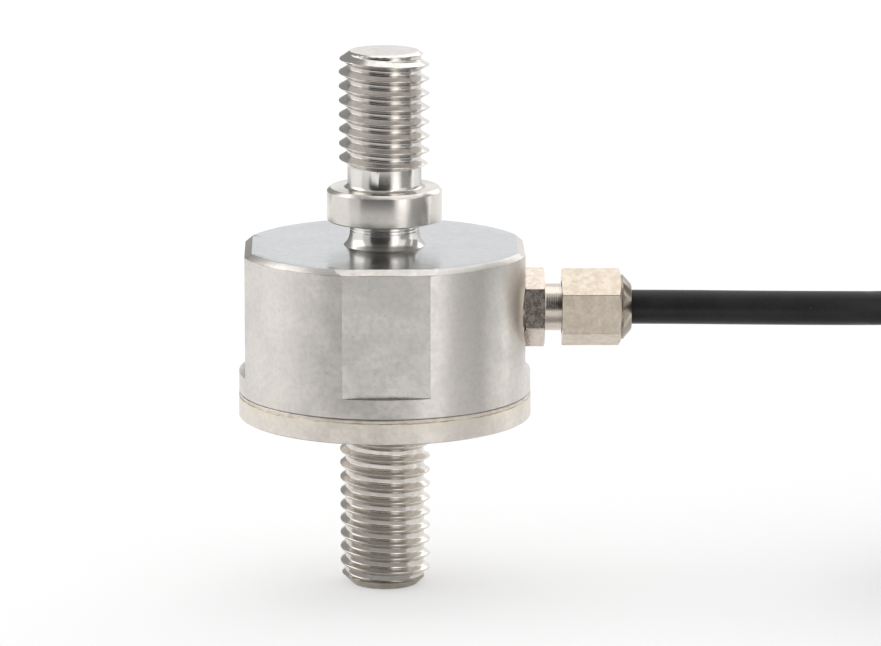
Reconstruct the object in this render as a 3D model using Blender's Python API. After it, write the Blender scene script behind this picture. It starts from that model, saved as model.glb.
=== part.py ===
"""Tension and compression load cell with a threaded stud at each end, in metres.

The load runs along Z. The origin is the centre of the lower stud's end face, the
cable leaves along +X and a wrench flat faces each of -Y, +Y, -X and +X.
"""
import math

import bmesh
import bpy
from mathutils import Matrix, Vector

MM = 0.001

# Running gap between pieces that touch or fit into each other.
CLEARANCE = 0.25 * MM

# Threads, M8 coarse at both ends.
PITCH = 1.25 * MM
THREAD_HAND = -1
THREAD_SEGMENTS = 40
UPPER_CREST_RADIUS = 3.93 * MM
UPPER_THREAD_DEPTH = 0.73 * MM
LOWER_CREST_RADIUS = 3.94 * MM
LOWER_THREAD_DEPTH = 0.52 * MM
# Where the first full crest passes the side away from the cable, below each stud's top.
UPPER_CREST_DROP = 1.86 * MM
LOWER_CREST_RISE = 0.70 * MM

# Lower stud and base plate.
LOWER_STUD_LENGTH = 15.2 * MM
LOWER_END_RADIUS = 2.9 * MM
LOWER_END_CHAMFER = 1.05 * MM
LOWER_RELIEF_LENGTH = 1.0 * MM
LOWER_ROOT_FILLET = 0.6 * MM
BASE_RIM_PROUD = 0.03 * MM
BASE_RIM_THICKNESS = 1.9 * MM
BASE_EDGE_CHAMFER = 0.12 * MM
SPIGOT_HEIGHT = 1.8 * MM
SPIGOT_WALL = 1.0 * MM
BASE_FLOOR_RISE = 0.8 * MM
STOP_BOSS_HEIGHT = 4.1 * MM
STOP_BOSS_STEP = 0.8 * MM
STOP_GAP = 0.3 * MM

# Sensing body: the wall, the diaphragm and what stands on it.
BODY_RADIUS = 12.7 * MM
BODY_HEIGHT = 15.0 * MM
BODY_TOP_CHAMFER = 0.48 * MM
WALL_FOOT_CHAMFER = 0.12 * MM
WALL_THICKNESS = 2.3 * MM
DIAPHRAGM_THICKNESS = 2.6 * MM
DIAPHRAGM_WIDTH = 6.2 * MM
CAVITY_FILLET = 0.6 * MM
NECK_RADIUS = 3.0 * MM
NECK_HEIGHT = 2.2 * MM
NECK_FILLET = 0.45 * MM
NECK_TOP_FILLET = 0.2 * MM
COLLAR_RADIUS = 5.0 * MM
COLLAR_HEIGHT = 2.9 * MM
COLLAR_TOP_CHAMFER = 0.3 * MM
COLLAR_FOOT_CHAMFER = 0.12 * MM
RELIEF_FILLET = 0.35 * MM
UPPER_RELIEF_LENGTH = 1.8 * MM
UPPER_STUD_LENGTH = 11.9 * MM
UPPER_END_RADIUS = 3.0 * MM
UPPER_END_CHAMFER = 0.68 * MM
THREAD_RUNOUT = 0.3 * MM

# Wrench flats, milled into the wall and down to a ledge above the base.
FLAT_DEPTH = 0.5 * MM
FLAT_LEDGE_HEIGHT = 3.9 * MM
FLAT_CUTTER_DEPTH = 3.0 * MM

# Cable gland, on the flat that faces +X.
GLAND_HEIGHT = 9.4 * MM
SPOTFACE_RADIUS = 4.4 * MM
SPOTFACE_DEPTH = 0.3 * MM
PORT_SEAL_SECTION = 0.5 * MM
PORT_SEAL_SEAT_DEPTH = 0.9 * MM
HEX_ACROSS = 6.0 * MM
GLAND_HEX_LENGTH = 1.75 * MM
GLAND_SPIGOT_RADIUS = 1.9 * MM
GLAND_SPIGOT_REACH = 0.5 * MM
GLAND_NECK_RADIUS = 2.05 * MM
GLAND_NECK_SHOWN = 1.5 * MM
GLAND_NECK_ENGAGED = 1.15 * MM
GLAND_HEX_TURN = math.radians(-7.8)
NUT_HEX_TURN = math.radians(1.8)
NUT_HEX_LENGTH = 5.15 * MM
NUT_NOSE_LENGTH = 0.95 * MM
NUT_NOSE_BASE_RADIUS = 2.94 * MM
NUT_NOSE_TIP_RADIUS = 1.9 * MM
NUT_END_WALL = 0.5 * MM
HEX_CORNER_CHAMFER = 0.25 * MM
THRUST_RING_LENGTH = 0.4 * MM
HEX_SEGMENTS = 6
GLAND_SEGMENTS = 24

# Cable: jacket, braid and cores.
CABLE_RADIUS = 1.5 * MM
BRAID_RADIUS = 1.1 * MM
BRAID_REACH = 0.5 * MM
CORE_RADIUS = 0.28 * MM
CORE_SPREAD = 0.43 * MM
CORE_PAD_PITCH = 1.2 * MM
DRAIN_RADIUS = 0.2 * MM

# Strain gauges and the ring board that they are wired to.
GAUGE_OFFSET = 2.8 * MM
GAUGE_LENGTH = 2.6 * MM
GAUGE_WIDTH = 2.2 * MM
GAUGE_THICKNESS = 0.2 * MM
GAUGE_WIRE_RADIUS = 0.16 * MM
GAUGE_WIRE_PITCH = 1.2 * MM
GAUGE_WIRE_BOW = 0.35 * MM
BOARD_THICKNESS = 0.8 * MM
BOARD_HUB_SPACE = 1.2 * MM
RESISTOR_LENGTH = 2.0 * MM
RESISTOR_WIDTH = 1.25 * MM
RESISTOR_HEIGHT = 0.6 * MM

# Cable beyond the gland: it runs out level and is wound into a hank, tied at its waist.
CABLE_ROUTE = (
    (26.0, 0.0, 24.57),
    (32.0, 0.0, 24.5),
    (38.0, 0.0, 24.45),
    (44.0, 0.2, 24.4),
    (50.0, 1.6, 24.3),
    (55.0, 4.0, 24.0),
    (60.0, 7.2, 23.4),
    (65.0, 10.2, 22.95),
    (70.0, 11.7, 22.85),
)
TAIL_ROUTE = (
    (75.5, -12.0, 23.0),
    (72.0, -11.95, 22.95),
    (68.5, -11.7, 22.95),
    (65.0, -11.3, 22.95),
)
HANK_START = 46.5 * MM
HANK_LENGTH = 65.0 * MM
HANK_WIDTH = 27.0 * MM
HANK_HEIGHT = 21.0 * MM
HANK_RUN_WIDTH = 6.0 * MM
HANK_END_SEGMENTS = 16
TIE_WIDTH = 3.6 * MM
TIE_THICKNESS = 0.5 * MM
TIE_LOCK_WIDTH = 5.0 * MM
TIE_LOCK_LENGTH = 5.2 * MM
TIE_LOCK_HEIGHT = 3.0 * MM
TIE_LOCK_OFFSET = 4.0 * MM
TIE_END_LENGTH = 4.5 * MM
TIE_END_OFFSET = 0.9 * MM
SLEEVE_LENGTH = 5.0 * MM
SLEEVE_RADIUS = 1.75 * MM
LEAD_LENGTH = 7.0 * MM
LEAD_RADIUS = 0.5 * MM
LEAD_TIP_RADIUS = 0.28 * MM
LEAD_TIP_LENGTH = 2.4 * MM
LEAD_FAN = math.radians(9.0)
LEAD_SEGMENTS = 10

# Heights and distances that follow from the sizes above.
BASE_BOTTOM = LOWER_STUD_LENGTH
BASE_RIM_TOP = BASE_BOTTOM + BASE_RIM_THICKNESS
WALL_FOOT = BASE_RIM_TOP + CLEARANCE
BODY_TOP = BASE_BOTTOM + BODY_HEIGHT
COLLAR_BOTTOM = BODY_TOP + NECK_HEIGHT
COLLAR_TOP = COLLAR_BOTTOM + COLLAR_HEIGHT
UPPER_THREAD_FOOT = COLLAR_TOP + UPPER_RELIEF_LENGTH
UPPER_END = COLLAR_TOP + UPPER_STUD_LENGTH
UPPER_ROOT_RADIUS = UPPER_CREST_RADIUS - UPPER_THREAD_DEPTH
LOWER_ROOT_RADIUS = LOWER_CREST_RADIUS - LOWER_THREAD_DEPTH
LOWER_THREAD_TOP = BASE_BOTTOM - LOWER_RELIEF_LENGTH
CAVITY_RADIUS = BODY_RADIUS - WALL_THICKNESS
CAVITY_CEILING = BODY_TOP - DIAPHRAGM_THICKNESS
HUB_RADIUS = CAVITY_RADIUS - DIAPHRAGM_WIDTH
STOP_BOSS_TOP = BASE_RIM_TOP + STOP_BOSS_HEIGHT
STOP_BOSS_RADIUS = HUB_RADIUS - STOP_BOSS_STEP
HUB_BOTTOM = STOP_BOSS_TOP + STOP_GAP
BASE_RADIUS = BODY_RADIUS + BASE_RIM_PROUD
SPIGOT_RADIUS = CAVITY_RADIUS - CLEARANCE
SPIGOT_TOP = BASE_RIM_TOP + SPIGOT_HEIGHT
FLAT_DISTANCE = BODY_RADIUS - FLAT_DEPTH
FLAT_LEDGE = BASE_BOTTOM + FLAT_LEDGE_HEIGHT
GLAND_AXIS = BASE_BOTTOM + GLAND_HEIGHT
SPOTFACE_FLOOR = FLAT_DISTANCE - SPOTFACE_DEPTH
PORT_RADIUS = GLAND_SPIGOT_RADIUS + CLEARANCE
PORT_SEAT_RADIUS = PORT_RADIUS + PORT_SEAL_SECTION + CLEARANCE
GLAND_FACE = SPOTFACE_FLOOR + CLEARANCE
GLAND_HEX_END = GLAND_FACE + GLAND_HEX_LENGTH
GLAND_SPIGOT_END = CAVITY_RADIUS - GLAND_SPIGOT_REACH
NUT_FACE = GLAND_HEX_END + GLAND_NECK_SHOWN
GLAND_NECK_END = NUT_FACE + GLAND_NECK_ENGAGED
NUT_HEX_END = NUT_FACE + NUT_HEX_LENGTH
NUT_NOSE_END = NUT_HEX_END + NUT_NOSE_LENGTH
NUT_BORE_RADIUS = GLAND_NECK_RADIUS + CLEARANCE
NUT_BORE_END = NUT_HEX_END - NUT_END_WALL
HEX_APOTHEM = HEX_ACROSS / 2
HEX_CORNER_RADIUS = HEX_APOTHEM / math.cos(math.pi / HEX_SEGMENTS)
CABLE_HOLE_RADIUS = CABLE_RADIUS + CLEARANCE
BRAID_HOLE_RADIUS = BRAID_RADIUS + CLEARANCE
THRUST_RING_START = GLAND_NECK_END + CLEARANCE
SEAL_START = THRUST_RING_START + THRUST_RING_LENGTH + CLEARANCE
SEAL_END = NUT_BORE_END - CLEARANCE
BRAID_INNER_END = GLAND_SPIGOT_END - BRAID_REACH
BOARD_BOTTOM = SPIGOT_TOP + CLEARANCE
BOARD_TOP = BOARD_BOTTOM + BOARD_THICKNESS
BOARD_OUTER_RADIUS = CAVITY_RADIUS - 2 * CLEARANCE
BOARD_INNER_RADIUS = HUB_RADIUS + BOARD_HUB_SPACE
ON_BOARD = BOARD_TOP + CLEARANCE
GAUGE_RADIUS = HUB_RADIUS + GAUGE_OFFSET
GAUGE_TOP = CAVITY_CEILING - CLEARANCE
GAUGE_BOTTOM = GAUGE_TOP - GAUGE_THICKNESS

AXIS_Z = Vector((0.0, 0.0, 1.0))
ALONG_X = Matrix.Rotation(math.radians(90), 4, "Y")

STEEL = ("turned_stainless", (0.66, 0.64, 0.61), 0.30, 1.0)
STEEL_BASE = ("base_stainless", (0.68, 0.65, 0.60), 0.34, 1.0)
NICKEL = ("nickel_plate", (0.72, 0.68, 0.60), 0.22, 1.0)
BRASS = ("brass_ring", (0.78, 0.60, 0.30), 0.35, 1.0)
RUBBER = ("seal_rubber", (0.03, 0.03, 0.03), 0.8, 0.0)
JACKET = ("cable_jacket", (0.025, 0.025, 0.028), 0.6, 0.0)
BRAID = ("tinned_braid", (0.70, 0.70, 0.70), 0.45, 1.0)
BOARD_GREEN = ("board_laminate", (0.05, 0.20, 0.09), 0.5, 0.0)
CHIP = ("resistor_body", (0.05, 0.05, 0.06), 0.4, 0.0)
FOIL = ("gauge_foil", (0.78, 0.52, 0.25), 0.4, 0.3)
ENAMEL = ("gauge_wire_enamel", (0.55, 0.22, 0.10), 0.35, 0.5)
SHRINK = ("heat_shrink", (0.02, 0.02, 0.02), 0.5, 0.0)
TIE_NYLON = ("tie_nylon", (0.03, 0.03, 0.03), 0.5, 0.0)
LEAD_COLOURS = {
    "red": (0.55, 0.03, 0.02),
    "black": (0.02, 0.02, 0.02),
    "green": (0.03, 0.30, 0.08),
    "white": (0.80, 0.80, 0.78),
}


def clear_scene():
    """Remove every object of the opened scene."""
    for thing in list(bpy.data.objects):
        bpy.data.objects.remove(thing, do_unlink=True)


def material(finish):
    """Return the Principled material of a finish, made on its first use."""
    name, colour, roughness, metallic = finish
    if name in bpy.data.materials:
        return bpy.data.materials[name]
    made = bpy.data.materials.new(name)
    made.use_nodes = True
    shader = made.node_tree.nodes["Principled BSDF"]
    shader.inputs["Base Color"].default_value = (*colour, 1.0)
    shader.inputs["Roughness"].default_value = roughness
    shader.inputs["Metallic"].default_value = metallic
    return made


def place(name, data, finish):
    """Link a mesh or curve as an object with its finish."""
    thing = bpy.data.objects.new(name, data)
    bpy.context.scene.collection.objects.link(thing)
    data.materials.append(material(finish))
    return thing


def mesh_of(name, shape, smooth=True):
    """Turn a bmesh into a mesh with outward faces and sharp edges where it bends."""
    bmesh.ops.recalc_face_normals(shape, faces=shape.faces)
    data = bpy.data.meshes.new(name)
    shape.to_mesh(data)
    shape.free()
    if smooth:
        data.shade_smooth()
        data.set_sharp_from_angle(angle=math.radians(30))
    return data


def arc(centre_r, centre_z, radius, start, end, steps=4):
    """Points of a fillet in a turned profile, angles in degrees from +r towards +z."""
    points = []
    for i in range(steps + 1):
        turn = math.radians(start + (end - start) * i / steps)
        points.append((centre_r + radius * math.cos(turn), centre_z + radius * math.sin(turn)))
    return points


def spin_profile(shape, profile, segments, closed=False):
    """Turn a profile of (radius, height) points round Z inside a bmesh."""
    line = [shape.verts.new((r, 0.0, z)) for r, z in profile]
    ends = zip(line, line[1:] + line[:1]) if closed else zip(line, line[1:])
    edges = [shape.edges.new(pair) for pair in ends]
    bmesh.ops.spin(
        shape,
        geom=line + edges,
        cent=(0.0, 0.0, 0.0),
        axis=AXIS_Z,
        angle=math.tau,
        steps=segments,
        use_merge=True,
    )
    bmesh.ops.remove_doubles(shape, verts=shape.verts, dist=1e-7)


def turned(name, profile, segments, finish, closed=False, turn=None):
    """A turned piece; a closed profile makes a ring and an open one meets the axis."""
    shape = bmesh.new()
    spin_profile(shape, profile, segments, closed)
    if turn is not None:
        bmesh.ops.transform(shape, matrix=turn, verts=shape.verts)
    return place(name, mesh_of(name, shape), finish)


def envelope_radius(envelope, height):
    """Largest radius that the turned blank leaves at a height, from (height, radius) points."""
    for (z0, r0), (z1, r1) in zip(envelope, envelope[1:]):
        if height <= z1:
            return r0 + (r1 - r0) * (height - z0) / (z1 - z0)
    return envelope[-1][1]


def cut_thread(shape, ridge, envelope, crest_height):
    """Add the flank of a helical thread to a bmesh, from the foot of its envelope to its top.

    ridge holds the (rise, radius) points of one pitch, its crest at rise 0. Rows of points
    follow the helix, and a row that runs off either end is drawn onto that end's circle.
    """
    foot, top = envelope[0][0], envelope[-1][0]
    snap = PITCH / THREAD_SEGMENTS / 2
    first = math.floor((foot - crest_height) / PITCH) - 2
    last = math.ceil((top - crest_height) / PITCH) + 2
    columns = []
    for k in range(THREAD_SEGMENTS):
        turn = math.tau * k / THREAD_SEGMENTS
        # The crest height is given on the side that faces -X.
        lead = THREAD_HAND * PITCH * (turn - math.pi) / math.tau
        column = []
        for number in range(first, last):
            for rise, radius in ridge:
                height = crest_height + number * PITCH + rise + lead
                height = foot if height < foot + snap else height
                height = top if height > top - snap else height
                reach = min(radius, envelope_radius(envelope, height))
                point = (reach * math.cos(turn), reach * math.sin(turn), height)
                column.append(shape.verts.new(point))
        columns.append(column)
    rows = len(ridge)
    for k, column in enumerate(columns):
        seam = k == THREAD_SEGMENTS - 1
        shift = THREAD_HAND * rows if seam else 0
        following = columns[(k + 1) % THREAD_SEGMENTS]
        for j in range(len(column) - 1):
            here, there = j, j + shift
            if 0 <= there < len(following) - 1:
                face = (column[here], following[there], following[there + 1], column[here + 1])
                shape.faces.new(face)
    bmesh.ops.remove_doubles(shape, verts=shape.verts, dist=1e-7)
    bmesh.ops.dissolve_degenerate(shape, edges=shape.edges, dist=1e-7)


def cap_end(shape, height):
    """Close the ring of open edges at a height with one flat face."""
    rim = [
        edge
        for edge in shape.edges
        if edge.is_boundary and all(abs(v.co.z - height) < 1e-7 for v in edge.verts)
    ]
    bmesh.ops.contextual_create(shape, geom=rim)


def cut(target, cutter, operation="DIFFERENCE"):
    """Cut or trim a piece with a guide solid, which is left out of the model."""
    cutter.hide_render = True
    cutter.display_type = "WIRE"
    modifier = target.modifiers.new(cutter.name, "BOOLEAN")
    modifier.operation = operation
    modifier.solver = "EXACT"
    modifier.object = cutter


def smooth_route(points, spacing):
    """Points at an even spacing on a Catmull-Rom curve through the route's own points."""
    knots = [Vector(p) for p in points]
    padded = [2 * knots[0] - knots[1], *knots, 2 * knots[-1] - knots[-2]]
    fine = []
    for a, b, c, d in zip(padded, padded[1:], padded[2:], padded[3:]):
        for i in range(20):
            t = i / 20
            fine.append(
                0.5 * (2 * b + (c - a) * t + (2 * a - 5 * b + 4 * c - d) * t**2
                       + (3 * b - a - 3 * c + d) * t**3)
            )
    fine.append(knots[-1])
    lengths = [0.0]
    for a, b in zip(fine, fine[1:]):
        lengths.append(lengths[-1] + (b - a).length)
    count = max(2, round(lengths[-1] / spacing) + 1)
    even, at = [], 0
    for i in range(count):
        goal = lengths[-1] * i / (count - 1)
        while at < len(lengths) - 2 and lengths[at + 1] < goal:
            at += 1
        share = (goal - lengths[at]) / (lengths[at + 1] - lengths[at])
        even.append(fine[at].lerp(fine[at + 1], share))
    return even


def tube(name, points, radius, finish, resolution=2, tips=None):
    """A round wire or cable along its points; tips scales the radius at each point."""
    data = bpy.data.curves.new(name, "CURVE")
    data.dimensions = "3D"
    data.bevel_depth = radius
    data.bevel_resolution = resolution
    data.use_fill_caps = True
    spline = data.splines.new("POLY")
    spline.points.add(len(points) - 1)
    for i, (knot, point) in enumerate(zip(spline.points, points)):
        knot.co = (*point, 1.0)
        knot.radius = tips[i] if tips else 1.0
    return place(name, data, finish)


def block(name, size, centre, turn, finish):
    """A plain flat piece, turned about Z and set with its centre at a point."""
    shape = bmesh.new()
    bmesh.ops.create_cube(shape, size=1.0)
    bmesh.ops.scale(shape, vec=size, verts=shape.verts)
    edges = [e for e in shape.edges if abs(e.verts[0].co.z - e.verts[1].co.z) > size[2] / 2]
    bmesh.ops.bevel(
        shape, geom=edges, offset=min(size[:2]) * 0.08, segments=1, affect="EDGES"
    )
    bmesh.ops.rotate(
        shape, cent=(0.0, 0.0, 0.0), matrix=Matrix.Rotation(turn, 3, "Z"), verts=shape.verts
    )
    bmesh.ops.translate(shape, vec=centre, verts=shape.verts)
    return place(name, mesh_of(name, shape, smooth=False), finish)


def sharp_ridge(crest, root):
    """One pitch of the cut thread on the upper stud, from crest to crest."""
    flat = PITCH / 20
    flank = (crest - root) * math.tan(math.radians(30))
    return (
        (0.0, crest),
        (flat, crest),
        (flat + flank, root),
        (PITCH - flank, root),
    )


def rolled_ridge(crest, root):
    """One pitch of the rolled thread on the lower stud, with a rounded crest."""
    half = PITCH / 8
    drop = (crest - root) / 5
    flank = (crest - root - drop) * math.tan(math.radians(30))
    return (
        (0.0, crest),
        (half, crest - drop),
        (half + flank, root),
        (PITCH - half - flank, root),
        (PITCH - half, crest - drop),
    )


def sensing_body():
    """The turned body: upper stud, collar, neck, diaphragm and wall in one piece."""
    shape = bmesh.new()
    envelope = (
        (UPPER_THREAD_FOOT, UPPER_ROOT_RADIUS),
        (UPPER_THREAD_FOOT + THREAD_RUNOUT, UPPER_CREST_RADIUS),
        (UPPER_END - UPPER_END_CHAMFER, UPPER_CREST_RADIUS),
        (UPPER_END, UPPER_END_RADIUS),
    )
    ridge = sharp_ridge(UPPER_CREST_RADIUS, UPPER_ROOT_RADIUS)
    cut_thread(shape, ridge, envelope, UPPER_END - UPPER_CREST_DROP)
    cap_end(shape, UPPER_END)
    profile = [
        (UPPER_ROOT_RADIUS, UPPER_THREAD_FOOT),
        *arc(UPPER_ROOT_RADIUS + RELIEF_FILLET, COLLAR_TOP + RELIEF_FILLET, RELIEF_FILLET, 180, 270),
        (COLLAR_RADIUS - COLLAR_TOP_CHAMFER, COLLAR_TOP),
        (COLLAR_RADIUS, COLLAR_TOP - COLLAR_TOP_CHAMFER),
        (COLLAR_RADIUS, COLLAR_BOTTOM + COLLAR_FOOT_CHAMFER),
        (COLLAR_RADIUS - COLLAR_FOOT_CHAMFER, COLLAR_BOTTOM),
        *arc(NECK_RADIUS + NECK_TOP_FILLET, COLLAR_BOTTOM - NECK_TOP_FILLET, NECK_TOP_FILLET, 90, 180, 2),
        *arc(NECK_RADIUS + NECK_FILLET, BODY_TOP + NECK_FILLET, NECK_FILLET, 180, 270),
        (BODY_RADIUS - BODY_TOP_CHAMFER, BODY_TOP),
        (BODY_RADIUS, BODY_TOP - BODY_TOP_CHAMFER),
        (BODY_RADIUS, WALL_FOOT + WALL_FOOT_CHAMFER),
        (BODY_RADIUS - WALL_FOOT_CHAMFER, WALL_FOOT),
        (CAVITY_RADIUS, WALL_FOOT),
        *arc(CAVITY_RADIUS - CAVITY_FILLET, CAVITY_CEILING - CAVITY_FILLET, CAVITY_FILLET, 0, 90, 3),
        *arc(HUB_RADIUS + CAVITY_FILLET, CAVITY_CEILING - CAVITY_FILLET, CAVITY_FILLET, 90, 180, 3),
        (HUB_RADIUS, HUB_BOTTOM),
        (0.0, HUB_BOTTOM),
    ]
    spin_profile(shape, profile, THREAD_SEGMENTS)
    body = place("sensing_body", mesh_of("sensing_body", shape), STEEL)
    cut(body, flat_cutter())
    cut(body, port_cutter())
    return body


def flat_cutter():
    """Four blocks that mill the wrench flats, each with the top edge's chamfer."""
    shape = bmesh.new()
    outside = FLAT_DISTANCE + FLAT_CUTTER_DEPTH
    above = BODY_TOP + BODY_TOP_CHAMFER
    outline = (
        (FLAT_DISTANCE, FLAT_LEDGE),
        (outside, FLAT_LEDGE),
        (outside, above),
        (FLAT_DISTANCE - 2 * BODY_TOP_CHAMFER, above),
        (FLAT_DISTANCE, BODY_TOP - BODY_TOP_CHAMFER),
    )
    half = math.sqrt(BASE_RADIUS**2 - FLAT_DISTANCE**2) + CLEARANCE
    for quarter in range(4):
        corners = [shape.verts.new((x, -half, z)) for x, z in outline]
        side = shape.faces.new(corners)
        pushed = bmesh.ops.extrude_face_region(shape, geom=[side])
        moved = [v for v in pushed["geom"] if isinstance(v, bmesh.types.BMVert)]
        bmesh.ops.translate(shape, vec=(0.0, 2 * half, 0.0), verts=moved)
        bmesh.ops.rotate(
            shape,
            cent=(0.0, 0.0, 0.0),
            matrix=Matrix.Rotation(quarter * math.pi / 2, 3, "Z"),
            verts=corners + moved,
        )
    return place("flat_cutter", mesh_of("flat_cutter", shape, smooth=False), STEEL)


def port_cutter():
    """The gland port: spotface, seat of the port seal and through hole, along +X."""
    seat_floor = SPOTFACE_FLOOR - PORT_SEAL_SEAT_DEPTH
    profile = [
        (0.0, CAVITY_RADIUS - WALL_THICKNESS),
        (PORT_RADIUS, CAVITY_RADIUS - WALL_THICKNESS),
        (PORT_RADIUS, seat_floor),
        (PORT_SEAT_RADIUS, seat_floor),
        (PORT_SEAT_RADIUS, SPOTFACE_FLOOR),
        (SPOTFACE_RADIUS, SPOTFACE_FLOOR),
        (SPOTFACE_RADIUS, BODY_RADIUS + CLEARANCE),
        (0.0, BODY_RADIUS + CLEARANCE),
    ]
    turn = Matrix.Translation((0.0, 0.0, GLAND_AXIS)) @ ALONG_X
    return turned("port_cutter", profile, 2 * GLAND_SEGMENTS, STEEL, turn=turn)


def base_plate():
    """The welded-in base: rim, spigot ring, overload stop and the lower stud."""
    shape = bmesh.new()
    envelope = (
        (0.0, LOWER_END_RADIUS),
        (LOWER_END_CHAMFER, LOWER_CREST_RADIUS),
        (LOWER_THREAD_TOP - THREAD_RUNOUT, LOWER_CREST_RADIUS),
        (LOWER_THREAD_TOP, LOWER_ROOT_RADIUS),
    )
    ridge = rolled_ridge(LOWER_CREST_RADIUS, LOWER_ROOT_RADIUS)
    cut_thread(shape, ridge, envelope, LOWER_CREST_RISE)
    cap_end(shape, 0.0)
    spigot_inner = SPIGOT_RADIUS - SPIGOT_WALL
    floor = BASE_RIM_TOP + BASE_FLOOR_RISE
    profile = [
        (LOWER_ROOT_RADIUS, LOWER_THREAD_TOP),
        *arc(
            LOWER_ROOT_RADIUS + LOWER_ROOT_FILLET,
            BASE_BOTTOM - LOWER_ROOT_FILLET,
            LOWER_ROOT_FILLET,
            180,
            90,
        ),
        (BASE_RADIUS - BASE_EDGE_CHAMFER, BASE_BOTTOM),
        (BASE_RADIUS, BASE_BOTTOM + BASE_EDGE_CHAMFER),
        (BASE_RADIUS, BASE_RIM_TOP - BASE_EDGE_CHAMFER),
        (BASE_RADIUS - BASE_EDGE_CHAMFER, BASE_RIM_TOP),
        (SPIGOT_RADIUS, BASE_RIM_TOP),
        (SPIGOT_RADIUS, SPIGOT_TOP),
        (spigot_inner, SPIGOT_TOP),
        (spigot_inner, floor),
        (STOP_BOSS_RADIUS, floor),
        (STOP_BOSS_RADIUS, STOP_BOSS_TOP),
        (0.0, STOP_BOSS_TOP),
    ]
    spin_profile(shape, profile, THREAD_SEGMENTS)
    return place("base_plate", mesh_of("base_plate", shape), STEEL_BASE)


def hex_piece(name, start, end, turn, sleeve, finish):
    """A hexagon bar along X, trimmed by a turned sleeve that gives its bore and ends."""
    shape = bmesh.new()
    bmesh.ops.create_cone(
        shape,
        cap_ends=True,
        segments=HEX_SEGMENTS,
        radius1=HEX_CORNER_RADIUS,
        radius2=HEX_CORNER_RADIUS,
        depth=end - start,
    )
    # Corners stand up and down once the bar lies along X.
    lay = (
        Matrix.Translation(((start + end) / 2, 0.0, GLAND_AXIS))
        @ Matrix.Rotation(turn, 4, "X")
        @ ALONG_X
        @ Matrix.Rotation(hex_start(shape), 4, "Z")
    )
    bmesh.ops.transform(shape, matrix=lay, verts=shape.verts)
    piece = place(name, mesh_of(name, shape, smooth=False), finish)
    set_sleeve = Matrix.Translation((0.0, 0.0, GLAND_AXIS)) @ ALONG_X
    trimmer = turned(name + "_sleeve", sleeve, GLAND_SEGMENTS, finish, closed=True, turn=set_sleeve)
    cut(piece, trimmer, "INTERSECT")
    return piece


def hex_start(shape):
    """The turn that brings the first corner of a hexagon bar onto its own X axis."""
    first = max(shape.verts, key=lambda v: (round(v.co.x, 6), round(v.co.y, 6)))
    return -math.atan2(first.co.y, first.co.x)


def gland_body():
    """Gland body: the spigot in the port, the hexagon against the spotface, the neck."""
    wide = HEX_CORNER_RADIUS + CLEARANCE
    corner = HEX_CORNER_RADIUS - HEX_CORNER_CHAMFER
    sleeve = [
        (BRAID_HOLE_RADIUS, GLAND_SPIGOT_END),
        (GLAND_SPIGOT_RADIUS, GLAND_SPIGOT_END),
        (GLAND_SPIGOT_RADIUS, GLAND_FACE),
        (wide, GLAND_FACE),
        (wide, GLAND_HEX_END - HEX_CORNER_CHAMFER / 2),
        (corner, GLAND_HEX_END),
        (GLAND_NECK_RADIUS, GLAND_HEX_END),
        (GLAND_NECK_RADIUS, GLAND_NECK_END),
        (BRAID_HOLE_RADIUS, GLAND_NECK_END),
    ]
    start = GLAND_SPIGOT_END - CLEARANCE
    end = GLAND_NECK_END + CLEARANCE
    return hex_piece("gland_body", start, end, GLAND_HEX_TURN, sleeve, NICKEL)


def gland_nut():
    """Gland nut: a hexagon with its corners chamfered, bored, and a cone for a nose."""
    wide = HEX_CORNER_RADIUS + CLEARANCE
    corner = HEX_CORNER_RADIUS - HEX_CORNER_CHAMFER
    sleeve = [
        (NUT_BORE_RADIUS, NUT_FACE),
        (corner, NUT_FACE),
        (wide, NUT_FACE + HEX_CORNER_CHAMFER),
        (wide, NUT_HEX_END - HEX_CORNER_CHAMFER),
        (NUT_NOSE_BASE_RADIUS, NUT_HEX_END),
        (NUT_NOSE_TIP_RADIUS, NUT_NOSE_END),
        (CABLE_HOLE_RADIUS, NUT_NOSE_END),
        (CABLE_HOLE_RADIUS, NUT_HEX_END),
        (NUT_BORE_RADIUS, NUT_BORE_END),
    ]
    start = NUT_FACE - CLEARANCE
    end = NUT_NOSE_END + CLEARANCE
    return hex_piece("gland_nut", start, end, NUT_HEX_TURN, sleeve, NICKEL)


def gland_ring(name, start, end, inner, outer, finish):
    """A plain ring on the gland's axis."""
    profile = [(inner, start), (outer, start), (outer, end), (inner, end)]
    turn = Matrix.Translation((0.0, 0.0, GLAND_AXIS)) @ ALONG_X
    return turned(name, profile, GLAND_SEGMENTS, finish, closed=True, turn=turn)


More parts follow.
